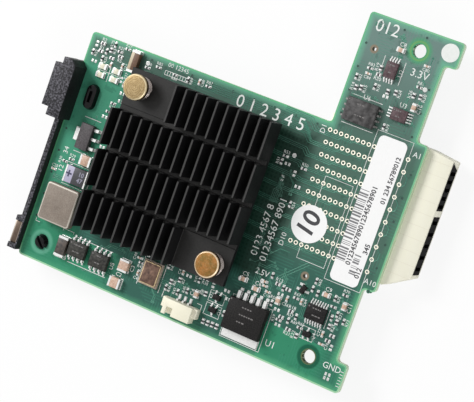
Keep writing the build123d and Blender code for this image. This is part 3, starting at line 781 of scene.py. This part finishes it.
marks = [
    ("D1", 63.8, 55.2, 1.3, 90.0), ("D10", 63.5, 28.1, 1.3, 90.0),
    ("A1", 87.0, 57.0, 1.3, 0.0), ("A10", 86.8, 26.4, 1.3, 0.0),
    ("U1", 69.3, 4.3, 1.6, 0.0), ("GND", 85.2, 5.1, 1.5, 0.0), ("2.5V", 61.6, 19.0, 1.4, 0.0),
    ("3.3V", 81.0, 74.1, 1.8, 0.0), ("12", 3.6, 23.4, 1.3, 90.0), ("34", 3.4, 28.0, 1.3, 90.0),
    ("012", 70.2, 81.4, 2.9, 0.0), ("00 12345", 24.5, 56.1, 1.1, 0.0),
    ("0 1 2 3 4 5", 50.2, 54.1, 3.0, 0.0),
    ("0123 4567 8", 58.1, 28.3, 1.8, 90.0), ("01234567 8901", 60.6, 29.3, 1.8, 90.0),
]
for words, x, y, height, turn in marks:
    take(x, y, *turned((0.75 * height * len(words), height), turn))
chip_fields = [
    (1.6, 12.4, 50.0, 56.4, 110),
    (1.8, 6.6, 20.6, 38.0, 14),
    (10.5, 14.2, 28.6, 52.0, 24),
    (30.0, 56.5, 6.6, 12.6, 60),
    (56.6, 63.6, 12.4, 50.0, 20),
    (63.0, 76.4, 7.6, 23.0, 100),
    (79.4, 84.4, 7.6, 23.0, 36),
    (67.0, 84.4, 60.2, 78.0, 40),
    (16.0, 36.0, 53.6, 55.4, 14),
]
chip_places = []
for left, right, low, high, count in chip_fields:
    for trial in range(count):
        x = left + place_step * dice.randrange(int((right - left) / place_step))
        y = low + place_step * dice.randrange(int((high - low) / place_step))
        turn = 90.0 * dice.randrange(2)
        patch = turned(chip_patch, turn)
        if vacant(x, y, *patch, gap=0.18):
            take(x, y, *patch)
            chip_places.append((x, y, turn))
            end_lands(x, y, turn, chip_reach, chip_land)
under_places = []
for column in range(9):
    for row in range(2):
        under_places.append((30.0 + 2.6 * column, 50.0 - 2.4 * row))
        under_places.append((33.0 + 2.6 * column, 9.5 - 2.4 * row))
for x, y in under_places:
    for side in (-chip_reach, chip_reach):
        lands.append(at(x, y + side, below_level, 90.0, chip_land) @ below)
add(spread(land(), "solder_pads", lands), solder(), "tinned_metal")
test_points = [(83.4, 71.4), (56.9, 15.8), (62.3, 17.2), (16.5, 54.6), (59.3, 47.0)]
point = coin(point_radius, 0.04, 20, lambda: bpy.ops.mesh.inset(thickness=0.08 * mm, depth=0.015 * mm))
point_spots = [at(x, y, trace_level / 2) for x, y in test_points]
add(spread(point, "test_points", point_spots), solder(), "tinned_metal")

# Legend. White epoxy ink screened on the mask: part outlines, brackets, reference numbers
# beside the parts, and plain numerals along the upper edge, beside the heat sink and on the arm.
ink_level = 0.045
ink_width = 0.2
ink_height = 0.03
print_height = 0.02
disc_radius = 2.1


def box_line(left, low, right, high):
    """A closed line round a rectangle."""
    return [(left, low), (right, low), (right, high), (left, high), (left, low)]


def screened_ink(name, first, second):
    """Screened ink: slightly thin and uneven, dull."""
    f = Finish(name)
    return f.surface({
        "Base Color": f.mix(first, second, f.noise(1.2, 4.0)),
        "Roughness": 0.5 + 0.2 * f.noise(4.0),
        "Normal": f.bump(f.noise(9.0), 0.01),
    })


def lettering(name, marks, level, weight=0.0):
    """Printed numerals as one mesh. A mark is its words, its place, its height and its turn in degrees."""
    written = []
    for words, x, y, height, turn in marks:
        text = bpy.data.curves.new(name, "FONT")
        text.body = words
        text.size = height * 1.38 * mm
        text.align_x = "CENTER"
        text.align_y = "CENTER"
        text.extrude = print_height / 2 * mm
        text.offset = weight * mm
        text.resolution_u = 2 if height < 2.0 else 8
        mark = bpy.data.objects.new(name, text)
        bpy.context.scene.collection.objects.link(mark)
        mark.matrix_world = at(x, y, level, turn)
        written.append(mark)
    only(*written)
    bpy.ops.object.convert(target="MESH")
    return joined(name, written)


def number(words, x, y, wide, deep, height):
    """A reference number on the first free side of a part, or none where there is no room."""
    long = 0.72 * height * len(words)
    gap = 0.75 * height
    beside = [(x + wide / 2 + gap, y, 90.0), (x - wide / 2 - gap, y, 90.0)]
    above = [(x, y + deep / 2 + gap, 0.0), (x, y - deep / 2 - gap, 0.0)]
    for across, along, turn in beside + above if deep > wide else above + beside:
        patch = turned((long, height), turn)
        if vacant(across, along, *patch, gap=0.1):
            take(across, along, *patch)
            return [(words, across, along, height, turn)]
    return []


def numbered(letter, node, first, height=0.85):
    """Reference numbers beside the solids of a CAD piece."""
    found = []
    for index, box in enumerate(solids(node)):
        left, low, right, high = footprint(*box)
        middle = ((left + right) / 2, (low + high) / 2)
        found += number(letter + str(first + index), *middle, right - left, high - low, height)
    return found


white_ink = screened_ink("white_legend_ink", (0.74, 0.78, 0.74), (0.88, 0.89, 0.87))
outlines = [
    box_line(76.2, 23.4, 85.3, 59.4),
    box_line(68.2, 25.4, 75.3, 45.3),
    box_line(56.7, 1.5, 67.2, 11.9),
    [(66.4, 1.5), (66.4, 11.9)],
    box_line(51.1, 8.1, 55.1, 10.7),
    box_line(51.1, 4.75, 55.1, 7.6),
    box_line(75.2, 8.6, 78.6, 11.5),
    [(39.8, 4.4), (39.8, 6.3), (41.2, 6.3)],
    [(50.2, 4.4), (50.2, 6.3), (48.9, 6.3)],
    [(9.6, 9.6), (9.6, 10.1), (12.6, 10.1), (12.6, 9.6)],
    [(9.6, 3.6), (9.6, 3.1), (12.6, 3.1), (12.6, 3.6)],
    [(7.55, 51.3), (7.55, 46.9)],
    [(4.2, 49.05), (10.9, 49.05)],
    [(1.7, 10.0), (1.7, 9.2), (2.9, 9.2)],
    [(13.1, 20.4), (13.1, 21.2)],
    [(80.2, 12.6), (80.2, 17.2)],
]
for left, right, low, high in (
    (67.2, 75.2, 58.2, 65.0), (5.2, 9.9, 28.6, 37.3), (4.9, 13.2, 20.2, 25.6),
    (13.3, 24.2, 3.0, 9.4), (21.5, 27.8, 53.6, 54.6),
):
    outlines += [[(left, y), (right, y)] for y in (low, high)]
for left, right, low, high in ((32.5, 38.5, 4.8, 12.2), (71.9, 77.1, 70.2, 75.6)):
    outlines += [[(x, low), (x, high)] for x in (left, right)]
for step in range(10):
    outlines.append([(21.5 + 0.7 * step, 53.6), (21.5 + 0.7 * step, 54.6)])
for step in range(6):
    outlines.append([(87.5, 1.6 + 0.7 * step), (88.3, 1.6 + 0.7 * step)])
add(ribbon("legend_outlines", outlines, ink_width, ink_height, ink_level), white_ink, "label_paper")
marks += numbered("C", "ceramic_capacitor_bodies", 1, 1.0)
marks += numbered("Q", "transistor_bodies", 1)
marks += numbered("U", "monitor_chip_bodies", 2, 1.1)
marks += numbered("U", "driver_chip_bodies", 4, 1.1)
marks += numbered("U", "memory_chip_body", 6, 1.1)
marks += numbered("L", "power_inductor_core", 1, 1.1)
marks += numbered("R", "chip_resistor_bodies", 1)
for index, (x, y, turn) in enumerate(chip_places):
    marks += number("CRRR"[index % 4] + str(20 + index), x, y, *turned(chip_patch, turn), 0.75)
add(lettering("legend_numbers", marks, ink_level), white_ink, "label_paper")
disc = coin(disc_radius, print_height, 40, lambda: bpy.ops.mesh.bevel(offset=0.008 * mm, segments=2))
add(spread(disc, "legend_disc", [at(*disc_place, trace_level)]), white_ink, "label_paper")

# Network controller. A flip-chip package under the heat sink: an epoxy substrate with a nickel-plated
# copper lid, and a grey thermal compound between the lid and the sink.


def speckled(name, first, second, scale, roughness, relief, gloss=0.5):
    """A moulded or filled material: grains of two tones with a fine uneven skin."""
    f = Finish(name)
    grain = f.noise(scale, 5.0)
    return f.surface({
        "Base Color": f.ramp(grain, (0.36, first), (0.64, second)),
        "Roughness": roughness - 0.08 + 0.16 * f.noise(scale * 0.5, 3.0),
        "Specular IOR Level": gloss,
        "Normal": f.bump(f.noise(scale * 1.6, 4.0), relief),
    })


substrate = speckled("package_laminate", (0.0244, 0.122, 0.061), (0.0488, 0.195, 0.0976), 2.0, 0.4, 0.01)
dress(substrate, "controller_substrate")
dress(metal("nickel_lid", (0.62, 0.60, 0.56), (0.74, 0.72, 0.68), 0.35), "controller_lid")
compound = speckled("thermal_compound", (0.512, 0.525, 0.549), (0.708, 0.72, 0.732), 3.0, 0.7, 0.03)
dress(compound, "thermal_pad")

# Heat sink. An aluminium comb extrusion, cross-cut into four rows of fins and milled flat at two corners for
# its pins, then anodised black with its edges broken; painted light makes its faces that look up greyer than
# its walls, and painted shade darkens the flats below the fin tops.
fin_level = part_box("heat_sink")[1].z / mm - 0.3
sharp_angle = math.radians(25)
smooth_angle = math.radians(35)


def softened(node, width, material, segments=2):
    """A CAD piece with its edges broken, in millimetres, as moulding, sawing or plating leaves them."""
    piece = welded(node, node + "_finished")
    limit = {"limit_method": "ANGLE", "angle_limit": sharp_angle}
    apply(piece, "BEVEL", width=width * mm, segments=segments, **limit)
    bpy.ops.object.shade_smooth_by_angle(angle=smooth_angle)
    return add(piece, material, slot_of[node], node)


def black_anodised():
    """Black anodising with the die lines of the extrusion along the fins, painted greyer on the faces that
    look up as lit faces, most on the fin tops.
    """
    f = Finish("black_anodised")
    lines = f.noise(1.0, 3.0, f.stretched(6.0, 0.35, 6.0))
    wall = f.mix((0.0049, 0.0049, 0.0055), (0.0134, 0.0134, 0.014), lines)
    sawn = f.noise(1.0, 4.0, f.stretched(0.5, 5.0, 1.0))
    # Painted light and shade: faces that look up are greyer than the walls, and the flats below the fin tops
    # are darker.
    top = f.mix((0.0195, 0.0189, 0.0189), (0.0561, 0.0549, 0.0537), sawn)
    lower_flats_painted_shade = f.mix((0.0098, 0.0098, 0.0098), (0.0293, 0.0281, 0.0268), f.noise(2.5, 5.0))
    level = f.mix(lower_flats_painted_shade, top, f.z > fin_level)
    return f.surface({
        "Base Color": f.mix(wall, level, f.upright() > 0.7),
        "Specular IOR Level": 0.3,
        "Metallic": 0.2,
        "Roughness": 0.34 + 0.2 * lines,
        "Normal": f.bump(lines + 0.4 * f.noise(8.0), 0.012),
    })


softened("heat_sink", 0.07, black_anodised(), 1)

# Push pins. Turned brass pins with flat heads and barbed legs, pressed through the sink and the board,
# each over a coil spring of round steel wire that pulls the sink down.
wire_radius = 0.2 * mm
coil_turns = 5
coil_steps = 28 * coil_turns


def turned_brass():
    """Lathe-turned brass: fine rings about each pin's axis, tarnished more on the lower pin, with a painted
    highlight round each head's edge and painted shade on the heads' sides.
    """
    f = Finish("turned_brass")
    heads = solids("push_pins")
    offsets = []
    for low, high in heads:
        centre = (low + high) / 2 / mm
        offsets.append(((f.x - centre.x) ** 2.0 + (f.y - centre.y) ** 2.0) ** 0.5)
    radius = offsets[0].least(offsets[1])
    head_radius = (heads[0][1].x - heads[0][0].x) / 2 / mm
    rings = (radius * 2.0 + f.noise(0.6, 3.0) * 3.0).fract()
    specks = f.fade(f.noise(2.6, 5.0), 0.48, 0.68)
    pale = f.mix((0.24, 0.17, 0.077), (0.43, 0.32, 0.165), f.noise(0.9, 4.0))
    warm = f.mix((0.19, 0.112, 0.028), (0.345, 0.155, 0.044), f.fade(f.noise(0.7, 4.0), 0.36, 0.64))
    lower = offsets[1] < 8.0
    brass = f.mix(pale, warm, lower)
    brass = f.mix(brass, (0.10, 0.058, 0.022), abs(rings - 0.5) * (1.3 - 0.7 * lower))
    brass = f.mix(brass, (0.56, 0.44, 0.25), specks * (0.4 - 0.26 * lower))
    # Painted highlight: a bright band round the edge of each head.
    rim = f.fade(abs(radius - head_radius + 0.2), 0.22, 0.06)
    bright = f.mix((0.82, 0.70, 0.46), (0.86, 0.70, 0.50), lower)
    brass = f.mix(brass, bright, rim * (0.75 + 0.15 * lower))
    return f.surface({
        # Painted shade: the heads' sides are dark brown.
        "Base Color": f.mix((0.10, 0.06, 0.025), brass, f.fade(f.upright(), 0.3, 0.75)),
        "Metallic": 0.85,
        "Roughness": 0.34 + 0.2 * rings,
        "Normal": f.bump(rings + f.noise(5.0), 0.012),
    })


softened("push_pins", 0.12, turned_brass())
springs = solids("pin_springs")
spring_size = springs[0][1] - springs[0][0]
coil_radius = spring_size.x / 2 - wire_radius
coil_rise = spring_size.z - 2 * wire_radius
wire_place = {"location": (coil_radius, 0, 0), "rotation": (math.pi / 2, 0, 0)}
coil = primitive(bpy.ops.mesh.primitive_circle_add, vertices=8, radius=wire_radius, **wire_place)
bpy.ops.object.transform_apply(location=True, rotation=True, scale=True)
winding = {"angle": coil_turns * math.tau, "screw_offset": coil_rise}
apply(coil, "SCREW", steps=coil_steps, render_steps=coil_steps, **winding)
edit(lambda: bpy.ops.mesh.fill_holes(sides=0), face_out)
bpy.ops.object.shade_smooth_by_angle(angle=math.radians(50))
coil_places = []
for low, high in springs:
    middle = (low + high) / 2
    coil_places.append(Matrix.Translation((middle.x, middle.y, low.z + wire_radius)))
steel = metal("spring_steel", (0.30, 0.25, 0.235), (0.52, 0.46, 0.43), 0.28)
add(spread(coil, "pin_coils", coil_places), steel, "spring_steel", "pin_springs")

# Edge clip and latch. A black moulding snapped to the board's left edge by a stake and a split peg,
# with a spark-eroded skin; a brown spring plate sits in its lower end.
stake_reach = 3.4
peg_reach = 2.4


def spark_plastic():
    """Black nylon from an eroded mould, speckled: the faces that look up are painted with pale specks as lit
    faces, and the sides are plain black.
    """
    f = Finish("spark_eroded_nylon")
    specks = f.noise(2.2, 5.0)
    # Painted light: the speckled skin is pale only on faces that look up, and the sides keep the same
    # plastic's dark tone.
    top = f.ramp(specks, (0.44, (0.0061, 0.0061, 0.0079)), (0.66, (0.128, 0.124, 0.144)))
    side = f.mix((0.0037, 0.0037, 0.0043), (0.0122, 0.0122, 0.0134), specks)
    return f.surface({
        "Base Color": f.mix(side, top, f.upright() > 0.8),
        "Roughness": 0.42 + 0.2 * f.noise(1.5),
        "Specular IOR Level": 0.25,
        "Normal": f.bump(specks, 0.06),
    })


def polished_plastic():
    """The same nylon from a polished part of the mould, black and smooth, on the stake and the peg."""
    f = Finish("polished_nylon")
    return f.surface({
        "Base Color": f.mix((0.0024, 0.0024, 0.0027), (0.0073, 0.0073, 0.0079), f.noise(2.0)),
        "Roughness": 0.07 + 0.12 * f.noise(1.2, 3.0),
        "Specular IOR Level": 0.2,
        "Normal": f.bump(f.noise(0.9, 3.0), 0.05),
    })


clip = softened("edge_clip", 0.3, spark_plastic(), 3)
clip.data.materials.append(polished_plastic())
for face in clip.data.polygons:
    for (x, y), reach in ((stake, stake_reach), (peg, peg_reach)):
        if (face.center - spot(x, y)).xy.length < reach * mm and face.center.z > board_top:
            face.material_index = 1


def spring_plate():
    """Brown tinned bronze, with a painted highlight along its left and right edges."""
    f = Finish("tinned_bronze")
    low, high = [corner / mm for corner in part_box("clip_latch")]
    # Painted highlight: the plate is pale within a few tenths of a millimetre of its left and right edges.
    edge = (f.x - low.x).least(high.x - f.x)
    plate = f.mix((0.055, 0.038, 0.028), (0.135, 0.095, 0.07), f.noise(0.8, 4.0))
    return f.surface({
        "Base Color": f.mix(plate, (0.42, 0.36, 0.30), f.fade(edge, 0.4, 0.15) * 0.8),
        "Metallic": 0.7,
        "Roughness": 0.36 + 0.2 * f.noise(1.5),
        "Normal": f.bump(f.noise(4.0, 3.0), 0.015),
    })


softened("clip_latch", 0.08, spring_plate())

# Midplane connector. A cream liquid-crystal polymer housing pressed into the board from below,
# with black wafers inside and two black slotted mating faces in its front.


def cream_polymer(name, first, second, seams):
    """Cream moulding with flow marks and the faint parting lines of its wafers."""
    f = Finish(name)
    flow = f.noise(0.6, 4.0, f.stretched(1.0, 0.3, 1.0))
    seam = (f.y * (1 / hole_pitch_y)).fract() < 0.05
    return f.surface({
        "Base Color": f.mix(f.mix(first, second, flow), (0.70, 0.61, 0.48), seam * seams),
        "Roughness": 0.4 + 0.2 * f.noise(2.0),
        "Normal": f.bump(flow - seam * seams, 0.03),
    })


def matt_black(name, gloss):
    """Black polymer that gives back little light, with a fine moulded grain."""
    f = Finish(name)
    grain = f.noise(2.0, 5.0)
    return f.surface({
        "Base Color": f.mix((0.002, 0.002, 0.0022), (0.006, 0.006, 0.0065), grain),
        "Roughness": 0.5 + 0.16 * f.noise(1.0, 3.0),
        "Specular IOR Level": gloss,
        "Normal": f.bump(grain, 0.02),
    })


cream = cream_polymer("cream_polymer", (0.92, 0.895, 0.725), (0.95, 0.93, 0.795), 0.2)
softened("midplane_housing", 0.15, cream)
dress(matt_black("mating_face_polymer", 0.02), "mating_face_lower", "mating_face_upper", "contact_wafers")

# Mezzanine plug and service header. A black two-row plug under the board with gold-plated contacts,
# and a small cream side-entry header near the lower edge with tinned pins.
softened("mezzanine_plug_housing", 0.12, matt_black("plug_polymer", 0.12))
dress(metal("contact_gold", (0.83, 0.60, 0.22), (0.95, 0.74, 0.34), 0.25), "mezzanine_plug_contacts")
ivory = cream_polymer("ivory_nylon", (0.86, 0.82, 0.64), (0.93, 0.90, 0.74), 0.0)
softened("service_header_housing", 0.12, ivory)

# Power parts. A moulded inductor of pressed iron powder, and two regulators in black epoxy
# on tinned tabs and leads.


def pressed_powder():
    """Pressed iron powder under a thin varnish: warm grey with fine grains, and a painted highlight on its
    rounded edges.
    """
    f = Finish("pressed_iron_powder")
    grains = f.noise(4.0, 5.0)
    cloud = f.noise(0.35, 3.0)
    stone = f.mix((0.137, 0.109, 0.0866), (0.254, 0.207, 0.168), cloud)
    stone = f.mix(stone, (0.439, 0.403, 0.354), f.fade(grains, 0.42, 0.66) * 0.22)
    # Painted highlight: the rounded edges between the top and the sides are pale.
    edge = f.fade(f.upright(), 0.35, 0.7) * f.fade(f.upright(), 0.995, 0.95)
    return f.surface({
        "Base Color": f.mix(stone, (0.634, 0.586, 0.512), edge * 0.8),
        "Metallic": 0.25,
        "Roughness": 0.38 + 0.2 * grains,
        "Normal": f.bump(grains, 0.012),
    })


softened("power_inductor_core", 0.45, pressed_powder(), 3)
black_grains = (0.0049, 0.0046, 0.0046), (0.0195, 0.0183, 0.0177)
epoxy = speckled("moulding_compound", *black_grains, 3.5, 0.5, 0.025, 0.15)
softened("power_regulator_body", 0.1, epoxy)
grey_grains = (0.061, 0.0537, 0.0561), (0.11, 0.10, 0.105)
softened("small_regulator_body", 0.1, speckled("grey_moulding_compound", *grey_grains, 2.5, 0.5, 0.03, 0.3))

# Chips. Epoxy packages on tinned gull-wing leads, each with a moulded dot by its first lead
# and a few dull strokes of laser marking.
body_edge = 0.06
stroke_width = 0.28
stroke_gap = 0.2
dot_inset = 0.55
for node in ("sequencer_chip_body", "transistor_bodies"):
    softened(node, body_edge, epoxy)
for node, name, first, second, scale, relief, gloss in (
    ("driver_chip_bodies", "matt_epoxy", (0.011, 0.011, 0.0098), (0.0512, 0.05, 0.0439), 1.6, 0.04, 0.25),
    (
        "memory_chip_body", "mottled_epoxy",
        (0.0281, 0.0268, 0.0268), (0.0976, 0.0939, 0.0939), 0.9, 0.05, 0.27,
    ),
    ("monitor_chip_bodies", "mauve_epoxy", (0.061, 0.0378, 0.0415), (0.122, 0.0781, 0.0854), 1.4, 0.04, 0.3),
):
    softened(node, body_edge, speckled(name, first, second, scale, 0.5, relief, gloss))
tin = metal("tin_plate", (0.58, 0.58, 0.57), (0.74, 0.74, 0.725), 0.4)
dress(tin, *soldered)
dress(metal("dull_tin", (0.16, 0.155, 0.15), (0.30, 0.29, 0.28), 0.5), "memory_chip_leads")
laser = screened_ink("laser_marking", (0.0976, 0.0915, 0.0915), (0.22, 0.207, 0.201))
strokes = []
dots = []
for node in (
    "power_regulator_body", "driver_chip_bodies", "sequencer_chip_body",
    "monitor_chip_bodies", "memory_chip_body",
):
    for low, high in solids(node):
        left, foot, right, head = footprint(low, high)
        top = (high.z - board_top) / mm
        lines = max(2, int((head - foot) / 2.4))
        for line in range(lines):
            y = foot + (head - foot) * (0.35 + 0.45 * line / (lines - 1))
            x = left + dice.uniform(0.25, 0.4) * (right - left)
            while x < left + dice.uniform(0.55, 0.8) * (right - left):
                reach = dice.uniform(0.25, 0.7)
                strokes.append(at(x + reach / 2, y, top, 0.0, (reach, stroke_width, 0.15)))
                x += reach + stroke_gap
        dots.append(at(left + dot_inset, head - dot_inset, top))
add(spread(land(), "laser_marks", strokes), laser, "moulding_compound")
add(spread(eyelet(0.3, 0.22, 0.012, epoxy, laser), "first_lead_dots", dots), None, "moulding_compound")

# Oscillator. A sintered ceramic base, soldered to the board, closed by a lid of gilded nickel alloy
# that is seam-welded round its edge and tarnished brown.
base = speckled("oscillator_ceramic", (0.366, 0.293, 0.244), (0.512, 0.427, 0.366), 2.5, 0.45, 0.02)
dress(base, "oscillator_base")


def lid_plate():
    """A tarnished brown lid with the bright gold line of its seam weld round it."""
    f = Finish("oscillator_lid_plate")
    edge = f.within(*[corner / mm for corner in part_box("oscillator_lid")])
    brown = f.mix((0.058, 0.034, 0.027), (0.175, 0.105, 0.075), f.fade(f.noise(0.9, 5.0), 0.35, 0.65))
    return f.surface({
        "Base Color": f.mix((0.60, 0.46, 0.27), brown, f.fade(edge + 0.2 * f.noise(2.0), 0.22, 0.38)),
        "Metallic": 0.7,
        "Roughness": 0.35 + 0.2 * f.noise(1.6),
        "Normal": f.bump(f.noise(3.0, 4.0), 0.02),
    })


softened("oscillator_lid", 0.12, lid_plate())

# Two-ended parts. Sintered ceramic capacitors and resistors with dipped ends, a moulded rectifier,
# a polymer and a tantalum capacitor, and four pale light-emitting diodes with clear lenses.
tan_grains = (0.512, 0.329, 0.232), (0.708, 0.512, 0.403)
capacitor_ceramic = speckled("capacitor_ceramic", *tan_grains, 2.5, 0.4, 0.02)
softened("ceramic_capacitor_bodies", 0.08, capacitor_ceramic)
dark_grains = (0.0122, 0.0122, 0.0146), (0.0488, 0.0488, 0.0549)
resistor_ceramic = speckled("resistor_ceramic", *dark_grains, 3.0, 0.35, 0.01)
dress(resistor_ceramic, "chip_resistor_bodies")
brown_grains = (0.0195, 0.0171, 0.0159), (0.0854, 0.0671, 0.0549)
softened("rectifier_body", 0.1, speckled("rectifier_epoxy", *brown_grains, 1.2, 0.45, 0.03))
lens = speckled("led_resin", (0.74, 0.70, 0.52), (0.84, 0.82, 0.68), 2.0, 0.3, 0.01)


def banded(node, band, case):
    """A moulded case in two tones, with a printed polarity band of two tones over its left third."""
    f = Finish(node.replace("body", "case"))
    low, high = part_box(node)
    edge = (low.x + 0.36 * (high.x - low.x)) / mm
    grain = f.noise(3.0, 4.0)
    printed = (f.x < edge) * (f.upright() > 0.5)
    softened(node, 0.12, f.surface({
        "Base Color": f.mix(f.mix(*case, grain), f.mix(*band, grain), printed),
        "Roughness": 0.4 + 0.15 * grain,
        "Normal": f.bump(grain, 0.02),
    }))


def top_of(node):
    """How far a CAD piece stands above the board, in millimetres."""
    return (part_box(node)[1].z - board_top) / mm


lavender = (0.342, 0.329, 0.451), (0.488, 0.464, 0.598)
slate = (0.022, 0.022, 0.0268), (0.0586, 0.0586, 0.0671)
banded("polymer_capacitor_body", lavender, slate)
sand = (0.488, 0.403, 0.268), (0.659, 0.561, 0.403)
umber = (0.0854, 0.0415, 0.0207), (0.195, 0.104, 0.061)
banded("tantalum_capacitor_body", sand, umber)
left, low, right, high = footprint(*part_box("polymer_capacitor_body"))
case_top = top_of("polymer_capacitor_body")
violet = screened_ink("violet_ink", (0.244, 0.244, 0.317), (0.342, 0.329, 0.415))
print_x = right - 1.3
print_y = (low + high) / 2
lines = [("10", print_x, print_y + 0.75, 1.1, 0.0), ("47", print_x, print_y - 0.75, 1.1, 0.0)]
add(lettering("polymer_print", lines, case_top, 0.05), violet, "moulding_compound")
navy = screened_ink("navy_ink", (0.0244, 0.0244, 0.061), (0.061, 0.061, 0.122))
lines = [("+", left + 0.8, print_y, 2.2, 0.0)]
add(lettering("polymer_sign", lines, case_top, 0.1), navy, "moulding_compound")
softened("status_led_bodies", 0.06, lens)

# Small chips. Ceramic resistors and capacitors a millimetre long with tinned ends, soldered to their lands
# between the larger parts, and in two double rows on the underside.
chip_length = 1.0
chip_width = 0.5
chip_height = 0.38
chip_end = 0.26
chip_edge = 0.03


def chip(body):
    """A dark or tan ceramic block with two dipped ends, standing on the origin."""
    rest = chip_length - 2 * chip_end
    blocks = [(0.0, rest, chip_width - 0.04, chip_height - 0.03, 0)]
    for side in (-1, 1):
        blocks.append((side * (rest + chip_end) / 2, chip_end, chip_width, chip_height, 1))
    made = []
    for x, *size, index in blocks:
        middle = (x * mm, 0, size[2] / 2 * mm)
        block = primitive(bpy.ops.mesh.primitive_cube_add, size=mm, location=middle, scale=size)
        block.data.materials.append(body)
        block.data.materials.append(tin)
        for face in block.data.polygons:
            face.material_index = index
        made.append(block)
    piece = joined("chip", made)
    apply(piece, "BEVEL", width=chip_edge * mm, segments=1)
    return piece


resistors = [place for index, place in enumerate(chip_places) if index % 4]
for name, chosen, body in (
    ("tiny_resistors", resistors, resistor_ceramic),
    ("tiny_capacitors", chip_places[::4], capacitor_ceramic),
):
    places = [at(x, y, trace_level, turn) for x, y, turn in chosen]
    add(spread(chip(body), name, places), None, slot_of["chip_resistor_bodies"])
places = [at(x, y, below_level, 90.0) @ below for x, y in under_places]
add(spread(chip(capacitor_ceramic), "underside_capacitors", places), None, slot_of["chip_resistor_bodies"])

# Labels. Two white paper labels stuck on the board: a long one beside the holes with plain bars
# and numbers, and a round one with a numeral.


def label_paper():
    """Coated paper: nearly white, with faint fibres and a slight waviness."""
    f = Finish("label_paper")
    fibres = f.noise(2.0, 5.0, f.stretched(3.0, 0.6, 1.0))
    return f.surface({
        "Base Color": f.mix((0.90, 0.90, 0.895), (0.95, 0.95, 0.945), fibres),
        "Roughness": 0.45 + 0.15 * fibres,
        "Normal": f.bump(fibres + 2.0 * f.noise(0.3), 0.02),
    })


dress(label_paper(), "rating_label", "round_label")
label_top = top_of("rating_label")
bars = []


def bar_strip(left, right, low, high):
    """A strip of bars of uneven widths across the label."""
    y = low
    while y < high:
        bar = dice.choice((0.12, 0.16, 0.3, 0.42))
        bars.append(at((left + right) / 2, y + bar / 2, label_top, 0.0, (right - left, bar, 0.12)))
        y += bar + dice.choice((0.18, 0.24, 0.3, 0.55))


bar_strip(77.0, 79.4, 28.7, 45.8)
bar_strip(81.2, 82.8, 26.6, 31.0)
grey_ink = screened_ink("grey_label_ink", (0.10, 0.10, 0.105), (0.26, 0.26, 0.27))
add(spread(land(), "label_print", bars), grey_ink, "label_paper")
black_ink = screened_ink("black_label_ink", (0.015, 0.015, 0.018), (0.05, 0.05, 0.055))
lines = [
    ("0123456789012345678901", 80.35, 37.8, 1.25, 90.0),
    ("01 234 56789012", 83.2, 49.6, 1.15, 90.0),
    ("012", 83.4, 27.4, 1.2, 90.0),
    ("345", 83.4, 33.2, 1.2, 90.0),
]
add(lettering("label_numbers", lines, label_top + 0.01, 0.035), black_ink, "label_paper")
left, low, right, high = footprint(*seal_box)
lines = [("10", (left + right) / 2, (low + high) / 2, 4.4, 78.0)]
add(lettering("round_label_number", lines, top_of("round_label") + 0.01, 0.12), black_ink, "label_paper")

# Camera, floor and light. The card lies on a white table under a large soft lamp on the left
# and a weaker one on the right, seen from above and a little from the right.
photo_width = 474
focal_pixels = 1900
floor_glow = 0.88
sky_light = 0.34
white = (1.0, 1.0, 1.0)
camera = bpy.data.objects.new("camera", bpy.data.cameras.new("camera"))
bpy.context.scene.collection.objects.link(camera)
camera.location = (134.04 * mm, 42.20 * mm, 408.28 * mm)
camera.rotation_euler = [math.radians(angle) for angle in (1.3283, 22.8336, 21.1333)]
camera.data.sensor_width = 36.0
camera.data.lens = focal_pixels * camera.data.sensor_width / photo_width
bpy.context.scene.camera = camera
bpy.context.scene.view_settings.view_transform = "Standard"

floor = primitive(bpy.ops.mesh.primitive_plane_add, size=6.0, location=(0, 0, cad_box[0][2]))
floor.name = "table"
tabletop = Finish("white_tabletop")
floor.data.materials.append(tabletop.surface({
    "Base Color": tabletop.mix((0.90, 0.90, 0.90), (0.93, 0.93, 0.93), tabletop.noise(0.01)),
    "Roughness": 0.9,
}))
lit = Value(tabletop, tabletop.shader.outputs[0])
glow = tabletop.node("Emission", {}, {"Color": white, "Strength": 1.0})
blend = tabletop.node("MixShader", {}, {0: tabletop.shown() * floor_glow, 1: lit, 2: glow})
tabletop.plug(tabletop.tree.nodes["Material Output"].inputs["Surface"], blend)

world = bpy.data.worlds.new("studio")
bpy.context.scene.world = world
studio = Finish("studio", world)
studio.surface({"Color": white, "Strength": sky_light + (1.0 - sky_light) * studio.shown()})


def lamp(name, place, size, power):
    """A square soft lamp aimed at the middle of the card."""
    light = bpy.data.objects.new(name, bpy.data.lights.new(name, "AREA"))
    bpy.context.scene.collection.objects.link(light)
    light.location = place
    light.rotation_euler = (-Vector(place)).to_track_quat("-Z", "Y").to_euler()
    light.data.size = size
    light.data.energy = power


lamp("key_lamp", (-0.52, 0.22, 0.46), 0.30, 4.35)
lamp("fill_lamp", (0.42, -0.46, 0.45), 0.50, 1.9)
